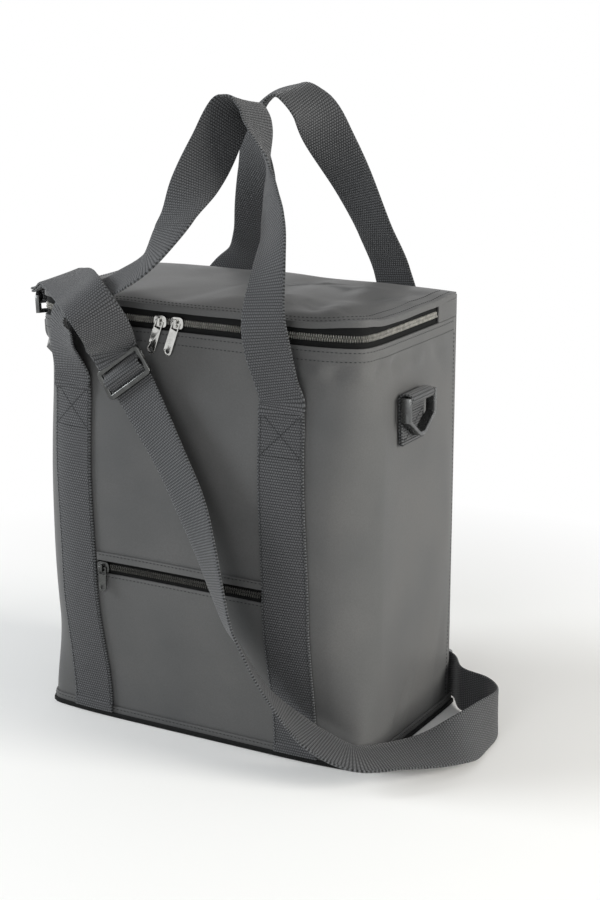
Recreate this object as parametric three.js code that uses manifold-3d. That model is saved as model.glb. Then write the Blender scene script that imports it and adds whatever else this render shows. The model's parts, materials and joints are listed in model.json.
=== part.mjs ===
// A soft cooler bag with a zipped lid, two webbing handles, a front zip pocket and a
// detachable shoulder strap. Millimetres, +Z up, the origin in the middle of the base on
// the floor, +X to the bag's right and -Y to its front.

import * as THREE from 'three';
import { mergeVertices } from 'three/addons/utils/BufferGeometryUtils.js';
import Module from 'manifold-3d';

const wasm = await Module();
wasm.setup();

// The body
const bagWidth = 290;
const bagDepth = 154;
const rimHeight = 328;
const frontCornerRadius = 26;
const frontSwell = 24;
const sideSwell = 4;
const backSwell = 8;
const swellZone = 14;
const swellRiseShare = 0.4;
const swellFallShare = 0.62;
const rimSwellShare = 0.5;
const baseSwellShare = 0.25;
const baseCornerShare = 0.85;
const baseCornerHeight = 80;

// The layers of its wall
const clearance = 0.3;
const fabric = 1.6;
const foamWall = 6.3;
const linerWall = 1;
const foamBase = 5;
const boardThickness = 2;
const bindingHeight = 9;
const pipingRadius = 1.7;
const hemHeight = 9.5;
const hemThickness = 1.2;

// The zip round the lid
const tapeThickness = 1;
const tapeSewn = 8;
const tapeShown = 4.3;
const coilHeight = 2.2;
const coilThickness = 2;
const coilInset = 0.9;
const zipEndFromRear = 39;
const lidSkirt = 4.5;
const lidEdgeAboveCoils = 5.3;
const lidCrown = 5;
const lidFoamEdge = 1;
const lidLiner = 1;
const lidSeat = 0.2;

// Webbing, the same for the handles and the strap
const webbingWidth = 38;
const webbingThickness = 2;
const webbingSpacing = 190;
const webbingShiftBottom = -5;
const webbingShiftTop = -11;
const webbingLeanFrom = 140;
const webbingOffWall = 0.6;
const stitchBelowRim = 49;
const handleFlat = 7;
const handleRise = 328;
const webbingStart = 0.8;
const floorGap = 0.4;

// The front pocket
const pocketLeft = 80.4;
const pocketRight = 70.4;
const pocketSlotBottom = 130;
const pocketSlotHeight = 11;
const weltHeight = 6.5;
const weltThickness = 1.4;
const pocketDepth = 90;
const pouchLayer = 0.6;
const pouchMargin = 12;

// Sliders and pulls
const sliderLength = 11;
const sliderHeight = 9;
const sliderPlate = 1.6;
const archRise = 1.9;
const archBar = 1.3;
const archWidth = 2.2;
const pullWidth = 7;
const pullThickness = 1.2;
const lidPullLength = 27;
const pocketPullLength = 20;
const pullLean = THREE.MathUtils.degToRad(20);
const leftSliderX = -24;
const rightSliderX = -9;
const pocketSliderX = -74;

// Strap fittings
const ringWall = 3;
const ringDepth = 7.5;
const ringSide = 17;
const ringTip = 30;
const ringFlat = 3.6;
const ringBend = 1.4;
const ringBarRadius = 2;
const ringAcross = -14;
const ringBelowRim = 45;
const tabTail = 36;
const tabLayer = 1.8;
const leftRingLift = THREE.MathUtils.degToRad(128);
const glideRail = 4;
const glideSlot = 6.5;
const glideThickness = 3;
const hookWire = 3.5;
const hookPlate = 5;
const hookInside = 6;
const hookSlotTop = 8;
const hookStemTop = 14;
const swivelRadius = 2.2;
const swivelHead = 1.5;
const eyeBase = 3.5;
const eyeOpening = 7.5;
const eyeBarRadius = 1.75;
const eyeDepth = 3.5;
const strapOffFace = 11;
const glideBelowRim = 32.5;

const overrun = 5;

const halfWidth = bagWidth / 2;
const halfDepth = bagDepth / 2;
const sideEnd = halfDepth - 2 * pipingRadius - clearance;
const stitchTop = rimHeight - stitchBelowRim;
const ringHeight = rimHeight - ringBelowRim;

const colours = {
  fabric: new THREE.MeshStandardMaterial({ color: 0x5a5c5d, roughness: 0.6 }),
  webbing: new THREE.MeshStandardMaterial({ color: 0x55595b, roughness: 0.85 }),
  lining: new THREE.MeshStandardMaterial({ color: 0xb9bcbd, roughness: 0.4 }),
  foam: new THREE.MeshStandardMaterial({ color: 0xe4e3dd, roughness: 0.9 }),
  board: new THREE.MeshStandardMaterial({ color: 0x3a3b3c, roughness: 0.7 }),
  zip: new THREE.MeshStandardMaterial({ color: 0x2b2c2d, roughness: 0.5 }),
  nickel: new THREE.MeshStandardMaterial({ color: 0xc9c9c6, roughness: 0.25, metalness: 1 }),
  gunmetal: new THREE.MeshStandardMaterial({ color: 0x4b4d4f, roughness: 0.35, metalness: 1 }),
};

const bag = new THREE.Group();

function add(name, geometry, material) {
  const mesh = new THREE.Mesh(geometry, material);
  mesh.name = name;
  bag.add(mesh);
  return mesh;
}

function steps(from, to, count) {
  return Array.from({ length: count + 1 }, (_, i) => from + ((to - from) * i) / count);
}

// The samples that every layer of the wall shares, so that all of them bend alike
const wallLevels = [0, hemHeight, ...steps(hemHeight, rimHeight, 9).slice(1)];
const frontReach = halfWidth - frontCornerRadius;
const frontSteps = steps(-frontReach, frontReach, 12);
const backShares = steps(-1, 1, 10);
const cornerAngles = steps(0, Math.PI / 2, 4);
const sideSteps = 5;

// A smooth function followed in straight stretches between its samples
function straightened(samples, smooth) {
  return (value) => {
    const next = samples.findIndex((sample) => sample > value);
    if (next < 1) {
      return smooth(value);
    }
    const [from, to] = [samples[next - 1], samples[next]];
    return THREE.MathUtils.lerp(smooth(from), smooth(to), (value - from) / (to - from));
  };
}

// How far the filled bag swells at a height, from 0 at the base to 1 in the middle
function swellUp(endShare, baseShare) {
  return straightened(wallLevels, (z) => {
    const t = THREE.MathUtils.clamp(z / rimHeight, 0, 1);
    if (t < swellRiseShare) {
      return baseShare + ((1 - baseShare) * (1 - Math.cos((Math.PI * t) / swellRiseShare))) / 2;
    }
    if (t < swellFallShare) {
      return 1;
    }
    const fall = (1 - Math.cos((Math.PI * (t - swellFallShare)) / (1 - swellFallShare))) / 2;
    return 1 - (1 - endShare) * fall;
  });
}
const openSwell = swellUp(rimSwellShare, baseSwellShare);
const hingeSwell = swellUp(0, 0);
const cornerPush = straightened(wallLevels, (z) => {
  const t = Math.min(1, z / baseCornerHeight);
  return (baseCornerShare * (1 + Math.cos(Math.PI * t))) / 2;
});

function flatInMiddle(share) {
  return 1 - Math.min(1, Math.abs(share)) ** 6;
}
const acrossFront = straightened(frontSteps, (x) => flatInMiddle(x / halfWidth));
const acrossBack = straightened(backShares, flatInMiddle);

// The front corners are sharper at the base than higher up
function cornerOut(overX, overY, z) {
  const u = (Math.abs(overX) - frontReach) / frontCornerRadius;
  const v = (frontCornerRadius - halfDepth - overY) / frontCornerRadius;
  if (u <= 0 || v <= 0) {
    return new THREE.Vector2();
  }
  const reach = cornerPush(z) * frontCornerRadius * (1 / Math.max(u, v) - 1);
  return new THREE.Vector2(Math.sign(overX) * u * reach, -v * reach);
}

// Moves a point of the plain box to where it lies on the filled bag. Layers under the
// surface move as the surface over them does, whose place is given as well.
function swell(x, y, z, overX = x, overY = y) {
  const sideways = THREE.MathUtils.clamp(overX / (halfWidth - swellZone), -1, 1);
  const along = THREE.MathUtils.clamp(overY / (halfDepth - swellZone), -1, 1);
  const push = overY < 0
    ? frontSwell * openSwell(z) * acrossFront(overX)
    : backSwell * hingeSwell(z) * acrossBack(overX / halfWidth);
  const corner = cornerOut(overX, overY, z);
  return new THREE.Vector3(
    x + sideSwell * openSwell(z) * flatInMiddle(overY / halfDepth) * sideways + corner.x,
    y + push * along + corner.y,
    z,
  );
}

function frontFace(x, z) {
  return swell(x, -halfDepth, z).y;
}

// A closed solid from its points and triangles, with its faces turned outwards
function solid(points, triangles) {
  const geometry = new THREE.BufferGeometry();
  let volume = 0;
  for (const [a, b, c] of triangles) {
    volume += points[a].dot(new THREE.Vector3().crossVectors(points[b], points[c]));
  }
  const order = volume < 0 ? triangles.map(([a, b, c]) => [a, c, b]) : triangles;
  geometry.setAttribute(
    'position',
    new THREE.Float32BufferAttribute(points.flatMap((p) => [p.x, p.y, p.z]), 3),
  );
  geometry.setIndex(order.flat());
  return geometry;
}

function toManifold(geometry) {
  const bare = geometry.clone();
  bare.deleteAttribute('normal');
  bare.deleteAttribute('uv');
  const merged = mergeVertices(bare, clearance / 1000);
  return new wasm.Manifold(new wasm.Mesh({
    numProp: 3,
    vertProperties: Float32Array.from(merged.attributes.position.array),
    triVerts: Uint32Array.from(merged.index.array),
  }));
}

function fromManifold(body) {
  const mesh = body.getMesh();
  const geometry = new THREE.BufferGeometry();
  geometry.setAttribute('position', new THREE.Float32BufferAttribute(mesh.vertProperties, 3));
  geometry.setIndex(Array.from(mesh.triVerts));
  return geometry;
}

function cut(geometry, ...cutters) {
  let body = toManifold(geometry);
  for (const cutter of cutters) {
    body = body.subtract(toManifold(cutter));
  }
  return fromManifold(body);
}

function join(...geometries) {
  let body = toManifold(geometries[0]);
  for (const other of geometries.slice(1)) {
    body = body.add(toManifold(other));
  }
  return fromManifold(body);
}

// The wall's shared levels between two heights
function levels(bottom, top) {
  const inside = wallLevels.filter((z) => z > bottom && z < top);
  return [bottom, ...inside, top];
}

// The bag's plan at an inset, open at the back: from its left rear end round the front.
// Each place is followed by the place on the surface over it.
function openPlan(inset, rearEnd, overEnd = sideEnd) {
  const cornerY = -halfDepth + frontCornerRadius;
  const arc = (radius, angle) => [
    frontReach + radius * Math.sin(angle),
    cornerY - radius * Math.cos(angle),
  ];
  const right = cornerAngles.map((angle) => [
    ...arc(frontCornerRadius - inset, angle),
    ...arc(frontCornerRadius, angle),
  ]);
  const overSide = steps(cornerY, overEnd, sideSteps);
  steps(cornerY, rearEnd, sideSteps).slice(1).forEach((y, i) => {
    right.push([halfWidth - inset, y, halfWidth, overSide[i + 1]]);
  });
  const left = right.map(([x, y, overX, overY]) => [-x, y, -overX, overY]).reverse();
  const front = frontSteps.slice(1, -1).map((x) => [x, -halfDepth + inset, x, -halfDepth]);
  return [...left, ...front, ...right];
}

function closedPlan(inset, rear) {
  const row = backShares.slice(1, -1).reverse();
  const back = row.map((t) => [t * (halfWidth - inset), rear, t * halfWidth, halfDepth]);
  return [...openPlan(inset, rear), ...back];
}

// A wall between an outer and an inner plan, in levels, closed in a ring or with two ends
function wall(outer, inner, heights, ring) {
  const points = [];
  for (const z of heights) {
    for (const plan of [outer, inner]) {
      points.push(...plan.map(([x, y, overX, overY]) => swell(x, y, z, overX, overY)));
    }
  }
  const count = outer.length;
  const at = (level, side, i) => level * 2 * count + side * count + (i % count);
  const triangles = [];
  const quad = (a, b, c, d) => triangles.push([a, b, c], [a, c, d]);
  const spans = ring ? count : count - 1;
  const top = heights.length - 1;
  for (let i = 0; i < spans; i += 1) {
    for (let k = 0; k < top; k += 1) {
      quad(at(k, 0, i), at(k, 0, i + 1), at(k + 1, 0, i + 1), at(k + 1, 0, i));
      quad(at(k, 1, i), at(k + 1, 1, i), at(k + 1, 1, i + 1), at(k, 1, i + 1));
    }
    quad(at(top, 0, i), at(top, 0, i + 1), at(top, 1, i + 1), at(top, 1, i));
    quad(at(0, 0, i + 1), at(0, 0, i), at(0, 1, i), at(0, 1, i + 1));
  }
  if (!ring) {
    for (let k = 0; k < top; k += 1) {
      quad(at(k, 1, 0), at(k, 0, 0), at(k + 1, 0, 0), at(k + 1, 1, 0));
      quad(at(k, 0, count - 1), at(k, 1, count - 1), at(k + 1, 1, count - 1), at(k + 1, 0, count - 1));
    }
  }
  return solid(points, triangles);
}

// A plate of the bag's plan between two heights, the top following a function of x and y
function plate(plan, bottom, topAt, rings = [1]) {
  const points = [];
  const count = plan.length;
  const middle = [0, (Math.max(...plan.map((p) => p[1])) + Math.min(...plan.map((p) => p[1]))) / 2];
  const shrunk = (share) => plan.map(([x, y, overX, overY]) => [
    x * share,
    middle[1] + (y - middle[1]) * share,
    overX * share,
    overY * share,
  ]);
  points.push(...plan.map(([x, y, overX, overY]) => swell(x, y, bottom, overX, overY)));
  for (const share of rings) {
    points.push(...shrunk(share).map(([x, y, overX, overY]) => swell(x, y, topAt(x, y), overX, overY)));
  }
  const below = points.push(swell(...middle, bottom)) - 1;
  const above = points.push(swell(...middle, topAt(...middle))) - 1;
  const triangles = [];
  for (let i = 0; i < count; i += 1) {
    const j = (i + 1) % count;
    triangles.push([below, j, i]);
    for (let r = 0; r < rings.length; r += 1) {
      const [a, b] = [r * count, (r + 1) * count];
      triangles.push([a + i, a + j, b + j], [a + i, b + j, b + i]);
    }
    triangles.push([above, rings.length * count + i, rings.length * count + j]);
  }
  return solid(points, triangles);
}

// A curved slab on the front or back face: xs across, heights up, between two insets.
// The insets may be functions of the height. On the back the face reaches from side to
// side of the given reach.
function faceSlab(side, xsAt, heights, outside, inside, reach = halfWidth) {
  const points = [];
  const value = (given, z) => (typeof given === 'function' ? given(z) : given);
  for (const z of heights) {
    for (const given of [outside, inside]) {
      const y = side * (halfDepth - value(given, z));
      const over = halfWidth / reach;
      points.push(...xsAt(z).map((x) => swell(x, y, z, x * over, side * halfDepth)));
    }
  }
  const count = xsAt(heights[0]).length;
  const at = (level, layer, i) => (level * 2 + layer) * count + i;
  const triangles = [];
  const quad = (a, b, c, d) => triangles.push([a, b, c], [a, c, d]);
  const top = heights.length - 1;
  for (let i = 0; i < count - 1; i += 1) {
    for (let k = 0; k < top; k += 1) {
      quad(at(k, 0, i), at(k, 0, i + 1), at(k + 1, 0, i + 1), at(k + 1, 0, i));
      quad(at(k, 1, i), at(k + 1, 1, i), at(k + 1, 1, i + 1), at(k, 1, i + 1));
    }
    quad(at(top, 0, i), at(top, 0, i + 1), at(top, 1, i + 1), at(top, 1, i));
    quad(at(0, 0, i + 1), at(0, 0, i), at(0, 1, i), at(0, 1, i + 1));
  }
  for (let k = 0; k < top; k += 1) {
    quad(at(k, 1, 0), at(k, 0, 0), at(k + 1, 0, 0), at(k + 1, 1, 0));
    quad(at(k, 0, count - 1), at(k, 1, count - 1), at(k + 1, 1, count - 1), at(k + 1, 0, count - 1));
  }
  return solid(points, triangles);
}

function between(left, right) {
  const inside = frontSteps.filter((x) => x > left && x < right);
  return () => [left, ...inside, right];
}

// A flat band swept along a route, its width turned to the direction given at each point
function ribbon(route, width, thickness, perSpan) {
  const curve = new THREE.CatmullRomCurve3(route.map((r) => r.at), false, 'centripetal');
  const turns = new THREE.CatmullRomCurve3(route.map((r) => r.wide), false, 'catmullrom');
  const count = (route.length - 1) * perSpan;
  const points = [];
  for (let i = 0; i <= count; i += 1) {
    const t = i / count;
    const centre = curve.getPoint(t);
    const tangent = curve.getTangent(t);
    const wide = turns.getPoint(t);
    wide.addScaledVector(tangent, -wide.dot(tangent)).normalize();
    const normal = new THREE.Vector3().crossVectors(tangent, wide);
    for (const [u, v] of [[-1, -1], [1, -1], [1, 1], [-1, 1]]) {
      points.push(centre.clone()
        .addScaledVector(wide, (u * width) / 2)
        .addScaledVector(normal, (v * thickness) / 2));
    }
  }
  // Both faces are split along the same diagonals, so that a twist can't make them meet
  const triangles = [[0, 1, 2], [0, 2, 3]];
  for (let i = 0; i < count; i += 1) {
    for (let k = 0; k < 4; k += 1) {
      const [a, b] = [i * 4 + k, i * 4 + ((k + 1) % 4)];
      if (k < 2) {
        triangles.push([a, a + 4, b + 4], [a, b + 4, b]);
      } else {
        triangles.push([a, a + 4, b], [a + 4, b + 4, b]);
      }
    }
  }
  const last = count * 4;
  triangles.push([last, last + 2, last + 1], [last, last + 3, last + 2]);
  return solid(points, triangles);
}

// A rounded rectangle about the origin
function roundedRect(width, height, radius) {
  const corners = [[1, -1], [1, 1], [-1, 1], [-1, -1]];
  const points = corners.flatMap(([x, y], i) => steps(0, 3, 3).map((k) => {
    const angle = ((i - 1) * Math.PI) / 2 + (k * Math.PI) / 6;
    return new THREE.Vector2(
      x * (width / 2 - radius) + radius * Math.cos(angle),
      y * (height / 2 - radius) + radius * Math.sin(angle),
    );
  }));
  return new THREE.Shape(points);
}

// A flat shape extruded through its thickness, centred on its plane
function extruded(shape, depth, curveSegments = 4) {
  const geometry = new THREE.ExtrudeGeometry(shape, { depth, bevelEnabled: false, curveSegments });
  return geometry.translate(0, 0, -depth / 2);
}

function rod(radius, length, sides = 12) {
  return new THREE.CylinderGeometry(radius, radius, length, sides);
}

// Turns a geometry so that its own x, y and z lie along the three directions, and places it
function placed(geometry, x, y, z, at) {
  return geometry.applyMatrix4(new THREE.Matrix4().makeBasis(x, y, z).setPosition(at));
}

const X = new THREE.Vector3(1, 0, 0);
const Y = new THREE.Vector3(0, 1, 0);
const Z = new THREE.Vector3(0, 0, 1);
const back = Y.clone().negate();

// Outer fabric
const bodyBottom = fabric + clearance;
const pipingX = halfWidth - pipingRadius;
const pipingY = halfDepth - pipingRadius;
const coilsBottom = rimHeight + tapeShown + clearance;
const coilsTop = coilsBottom + 2 * coilHeight + clearance;
const skirtBottom = coilsTop + lidEdgeAboveCoils;
const lidEdge = skirtBottom + lidSkirt;
const hingeHeight = skirtBottom + 0.5 * lidSkirt;
const rearPanelTop = hingeHeight - pipingRadius - clearance;
const foamInset = fabric + clearance;
const linerInset = foamInset + foamWall + 2 * clearance;
const rimInset = foamInset + tapeThickness + clearance;
const foamTop = rimHeight - bindingHeight - clearance;

const wrap = wall(openPlan(0, sideEnd), openPlan(fabric, sideEnd), levels(bodyBottom, rimHeight), false);
const pocketSlot = faceSlab(
  -1,
  between(-pocketLeft, pocketRight),
  levels(pocketSlotBottom, pocketSlotBottom + pocketSlotHeight),
  -fabric,
  2 * fabric,
);
add('wrap_panel', cut(wrap, pocketSlot), colours.fabric);
const backX = pipingX - pipingRadius - clearance;
const acrossTheBack = (reach) => () => backShares.map((share) => -share * reach);
const backPanel = faceSlab(1, acrossTheBack(backX), levels(bodyBottom, rearPanelTop), 0, fabric, backX);
add('back_panel', backPanel, colours.fabric);
add('base_panel', plate(closedPlan(0, halfDepth), 0, () => fabric), colours.fabric);
add(
  'base_hem',
  wall(
    closedPlan(-clearance - hemThickness, halfDepth + clearance + hemThickness),
    closedPlan(-clearance, halfDepth + clearance),
    [floorGap, hemHeight],
    true,
  ),
  colours.fabric,
);
for (const [name, side] of [['rear_piping_left', -1], ['rear_piping_right', 1]]) {
  const height = hingeHeight - bodyBottom;
  const piping = rod(pipingRadius, height, 10).rotateX(Math.PI / 2);
  add(name, piping.translate(side * pipingX, pipingY, bodyBottom + height / 2), colours.fabric);
}
const hingePiping = rod(pipingRadius, 2 * (pipingX - pipingRadius - clearance), 10).rotateZ(Math.PI / 2);
add('lid_hinge_piping', hingePiping.translate(0, pipingY, hingeHeight), colours.fabric);
const zipRear = halfDepth - zipEndFromRear;
for (const [name, side] of [['zip_end_left', -1], ['zip_end_right', 1]]) {
  const run = steps(zipRear + clearance, sideEnd, 3);
  const outer = run.map((y) => [side * halfWidth, y]);
  const inner = run.map((y) => [side * (halfWidth - fabric), y]);
  const piece = wall(outer, inner, [rimHeight + clearance, skirtBottom - clearance], false);
  add(name, piece, colours.fabric);
}

// Insulation, board and lining
const foam = wall(
  openPlan(foamInset, sideEnd),
  openPlan(foamInset + foamWall, sideEnd),
  levels(bodyBottom, foamTop),
  false,
);
const pouchTop = pocketSlotBottom + pocketSlotHeight + weltHeight;
const pouchOutside = foamInset + tapeThickness + clearance;
const pouchInside = pouchOutside + 3 * pouchLayer;
const pouchRecess = faceSlab(
  -1,
  between(-pocketLeft - pouchMargin - clearance, pocketRight + pouchMargin + clearance),
  levels(pocketSlotBottom - pocketDepth - clearance, pouchTop + clearance),
  0,
  pouchInside + clearance,
);
add('foam_wrap', cut(foam, pouchRecess), colours.foam);
const foamBackX = halfWidth - foamInset - foamWall - clearance;
const backFoam = faceSlab(
  1,
  acrossTheBack(foamBackX),
  levels(bodyBottom, foamTop),
  foamInset,
  foamInset + foamWall,
  foamBackX,
);
add('foam_back', backFoam, colours.foam);
const innerRear = halfDepth - linerInset;
const baseTop = bodyBottom + foamBase;
add('foam_base', plate(closedPlan(linerInset, innerRear), bodyBottom, () => baseTop), colours.foam);
const boardTop = baseTop + clearance + boardThickness;
add('base_board', plate(closedPlan(linerInset, innerRear), baseTop + clearance, () => boardTop), colours.board);
const linerBottom = boardTop + clearance;
const linerInner = linerInset + linerWall;
const linerFloor = linerBottom + linerWall;
const linerHeights = levels(linerBottom, rimHeight);
const linerOuter = plate(
  closedPlan(linerInset + 0.5 * linerWall, innerRear - 0.5 * linerWall),
  linerBottom,
  () => linerFloor,
);
const linerWalls = wall(
  closedPlan(linerInset, innerRear),
  closedPlan(linerInner, innerRear - linerWall),
  linerHeights,
  true,
);
add('liner', join(linerWalls, linerOuter), colours.lining);
add(
  'rim_binding',
  wall(
    closedPlan(rimInset, sideEnd),
    closedPlan(linerInset - clearance, innerRear + clearance),
    [foamTop + clearance, rimHeight],
    true,
  ),
  colours.webbing,
);

// The zip on the body and on the lid
function zipStrip(outer, inner, bottom, top) {
  return wall(openPlan(outer, zipRear, zipRear), openPlan(inner, zipRear, zipRear), [bottom, top], false);
}
const tapeInner = foamInset + tapeThickness;
const coilInner = coilInset + coilThickness;
const bodyCoilTop = coilsBottom + coilHeight;
add('body_zip_tape', zipStrip(foamInset, tapeInner, rimHeight - tapeSewn, rimHeight + tapeShown), colours.zip);
add('body_zip_coil', zipStrip(coilInset, coilInner, coilsBottom, bodyCoilTop), colours.zip);
add('lid_zip_coil', zipStrip(coilInset, coilInner, bodyCoilTop + clearance, coilsTop), colours.zip);
const lidTapeTop = skirtBottom + 0.6 * lidSkirt;
add('lid_zip_tape', zipStrip(foamInset, tapeInner, coilsTop + clearance, lidTapeTop), colours.zip);

// The lid: a crowned cover with a turned-down edge, foam and lining
const lidRear = pipingY - pipingRadius - 2 * clearance;
function crownAt(x, y) {
  const rise = (1 - Math.abs(x / halfWidth) ** 6) * (1 - Math.abs(y / halfDepth) ** 6);
  return lidEdge + lidCrown * Math.max(0, rise);
}
const lidRings = [1, 0.96, 0.88, 0.7, 0.35];
const coverOutside = plate(closedPlan(0, lidRear), skirtBottom, crownAt, lidRings);
const coverInside = plate(
  closedPlan(fabric, lidRear - fabric),
  skirtBottom - overrun,
  (x, y) => crownAt(x, y) - fabric,
  lidRings,
);
add('lid_cover', cut(coverOutside, coverInside), colours.fabric);
const lidInner = rimInset;
const lidLinerBottom = skirtBottom + lidSeat;
const lidFoamBottom = lidLinerBottom + lidLiner + clearance;
add(
  'lid_foam',
  plate(
    closedPlan(lidInner, lidRear - rimInset),
    lidFoamBottom,
    (x, y) => crownAt(x, y) - fabric - clearance - 0.5 * lidFoamEdge,
    lidRings,
  ),
  colours.foam,
);
add(
  'lid_liner',
  plate(closedPlan(lidInner, lidRear - rimInset), lidLinerBottom, () => lidLinerBottom + lidLiner),
  colours.lining,
);

// The pocket: a welt over the slot, the zip in it and the pouch behind it
const pocketXs = between(-pocketLeft, pocketRight);
const slotTop = pocketSlotBottom + pocketSlotHeight;
add(
  'pocket_welt',
  faceSlab(-1, pocketXs, levels(slotTop - clearance, slotTop + weltHeight), -clearance - weltThickness, -clearance),
  colours.fabric,
);
add(
  'pocket_zip_tape',
  faceSlab(-1, pocketXs, levels(pocketSlotBottom - weltHeight, slotTop + 0.5 * weltHeight), foamInset, tapeInner),
  colours.zip,
);
const pocketCoilBottom = pocketSlotBottom + 0.5 * pocketSlotHeight - coilHeight;
add(
  'pocket_zip_coil',
  faceSlab(-1, between(-pocketLeft + fabric, pocketRight - fabric), levels(pocketCoilBottom, pocketCoilBottom + 2 * coilHeight), 0, fabric),
  colours.zip,
);
const pouchXs = between(-pocketLeft - pouchMargin, pocketRight + pouchMargin);
const pouch = faceSlab(-1, pouchXs, levels(pocketSlotBottom - pocketDepth, pouchTop), pouchOutside, pouchInside);
const pouchSpace = faceSlab(
  -1,
  between(-pocketLeft - pouchMargin + fabric, pocketRight + pouchMargin - fabric),
  levels(pocketSlotBottom - pocketDepth + fabric, pouchTop + overrun),
  pouchOutside + pouchLayer,
  pouchInside - pouchLayer,
);
add('pocket_pouch', cut(pouch, pouchSpace), colours.lining);

// Webbing sewn up the front and the back, from the base to the top of its stitched box
function webbingCentre(side, z) {
  const t = THREE.MathUtils.clamp((z - webbingLeanFrom) / (stitchTop - webbingLeanFrom), 0, 1);
  const lean = (webbingShiftTop - webbingShiftBottom) * t;
  return (side * webbingSpacing) / 2 + webbingShiftBottom + lean;
}
const webbingKnee = hemHeight + webbingThickness;
function webbingInside(z) {
  const offHem = clearance + hemThickness + webbingOffWall;
  return z <= webbingKnee ? -offHem : -webbingOffWall;
}
function webbingStrip(face, side) {
  const samples = face < 0 ? frontSteps : backShares.map((share) => share * backX);
  const lean = webbingShiftBottom - webbingShiftTop;
  const from = webbingCentre(side, 0) - webbingWidth / 2 + lean;
  const to = webbingCentre(side, stitchTop) + webbingWidth / 2;
  const inside = samples.filter((x) => x > from && x < to);
  const xsAt = (z) => {
    const left = webbingCentre(side, z) - webbingWidth / 2;
    return [left, left + lean, ...inside, left + webbingWidth];
  };
  const heights = [webbingStart, webbingKnee, ...levels(webbingKnee + 2 * webbingThickness, stitchTop)];
  return faceSlab(face, xsAt, heights, (z) => webbingInside(z) - webbingThickness, webbingInside);
}
add('front_webbing_left', webbingStrip(-1, -1), colours.webbing);
add('front_webbing_right', webbingStrip(-1, 1), colours.webbing);
add('back_webbing_left', webbingStrip(1, -1), colours.webbing);
add('back_webbing_right', webbingStrip(1, 1), colours.webbing);

// Places on a route are shares of the half width, the half depth and, measured from the rim,
// of the handles' rise, and the second triple is the direction across the webbing there
function routeOf(table) {
  return table.map(([x, y, z, wx, wy, wz]) => ({
    at: new THREE.Vector3(x * halfWidth, y * halfDepth, rimHeight + (z - 1) * handleRise),
    wide: new THREE.Vector3(wx, wy, wz).normalize(),
  }));
}
// The handle leaves its webbing flat against the face before it swings free
function handleFoot(face, side) {
  const x = webbingCentre(side, stitchTop);
  const y = face * (halfDepth + 2.5 * webbingOffWall + webbingThickness / 2);
  const right = swell(x + webbingWidth / 2, y, stitchTop, x + webbingWidth / 2, face * halfDepth);
  const left = swell(x - webbingWidth / 2, y, stitchTop, x - webbingWidth / 2, face * halfDepth);
  const wide = right.sub(left).normalize().multiplyScalar(-side);
  return [stitchTop + 2 * clearance, stitchTop + handleFlat].map((z) => ({
    at: swell(x, y, z, x, face * halfDepth),
    wide,
  }));
}
const frontHandleShares = [
  [-0.755, -1.28, 0.955, 0.8, -0.45, 0.23],
  [-0.715, -1.34, 1.025, 0.8, -0.48, 0.24],
  [-0.584, -1.335, 1.064, 0.8, -0.52, 0.1],
  [-0.405, -1.352, 1.101, 0.74, -0.66, -0.03],
  [-0.183, -1.34, 1.162, 0.72, -0.69, -0.05],
  [-0.1, -1.18, 1.23, 0.9, -0.44, -0.07],
  [-0.085, -1.022, 1.267, 0.95, -0.3, -0.08],
  [-0.07, -0.79, 1.328, 0.89, 0.4, -0.02],
  [-0.048, -0.51, 1.403, 0.7, 0.63, -0.33],
  [-0.022, -0.35, 1.464, 0.6, 0.75, -0.26],
  [0.026, -0.26, 1.514, 0.31, 0.92, -0.2],
  [0.162, -0.312, 1.458, 0.08, 0.97, -0.2],
  [0.216, -0.39, 1.404, -0.28, 0.92, -0.25],
  [0.256, -0.442, 1.372, -0.47, 0.84, -0.26],
  [0.286, -0.519, 1.329, -0.62, 0.74, -0.25],
  [0.35, -0.693, 1.28, -0.73, 0.64, -0.24],
  [0.417, -0.878, 1.24, -0.79, 0.55, -0.24],
  [0.476, -1.135, 1.168, -0.92, 0.33, -0.2],
  [0.503, -1.32, 1.061, -0.98, 0.03, -0.13],
  [0.524, -1.31, 0.99, -0.98, -0.1, -0.06],
  [0.557, -1.25, 0.914, -1, 0, 0],
];
const backHandleShares = [
  [-0.695, 1.26, 0.945, 0.98, 0, -0.08],
  [-0.56, 1.28, 1.02, 0.95, 0, -0.2],
  [-0.4, 1.21, 1.075, 0.95, 0.05, -0.15],
  [-0.311, 1.091, 1.136, 0.99, 0.06, 0.1],
  [-0.256, 0.961, 1.217, 0.99, 0.06, 0.12],
  [-0.19, 0.779, 1.31, 0.95, -0.2, 0.1],
  [-0.114, 0.545, 1.426, 0.8, -0.58, 0],
  [0.001, 0.442, 1.501, 0.35, -0.92, -0.1],
  [0.141, 0.39, 1.527, -0.25, -0.95, -0.2],
  [0.255, 0.416, 1.494, -0.45, -0.85, -0.3],
  [0.34, 0.545, 1.411, -0.76, -0.22, -0.55],
  [0.424, 0.727, 1.314, -0.84, 0.13, -0.5],
  [0.51, 0.935, 1.191, -0.84, 0.36, -0.4],
  [0.556, 1.17, 1.085, -0.92, 0.25, -0.28],
  [0.593, 1.25, 0.96, -0.98, 0, -0.1],
];
function handle(face, shares) {
  const route = [
    ...handleFoot(face, -1),
    ...routeOf(shares),
    ...handleFoot(face, 1).reverse(),
  ];
  return ribbon(route, webbingWidth, webbingThickness, 2);
}
add('front_handle', handle(-1, frontHandleShares), colours.webbing);
add('back_handle', handle(1, backHandleShares), colours.webbing);

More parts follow.
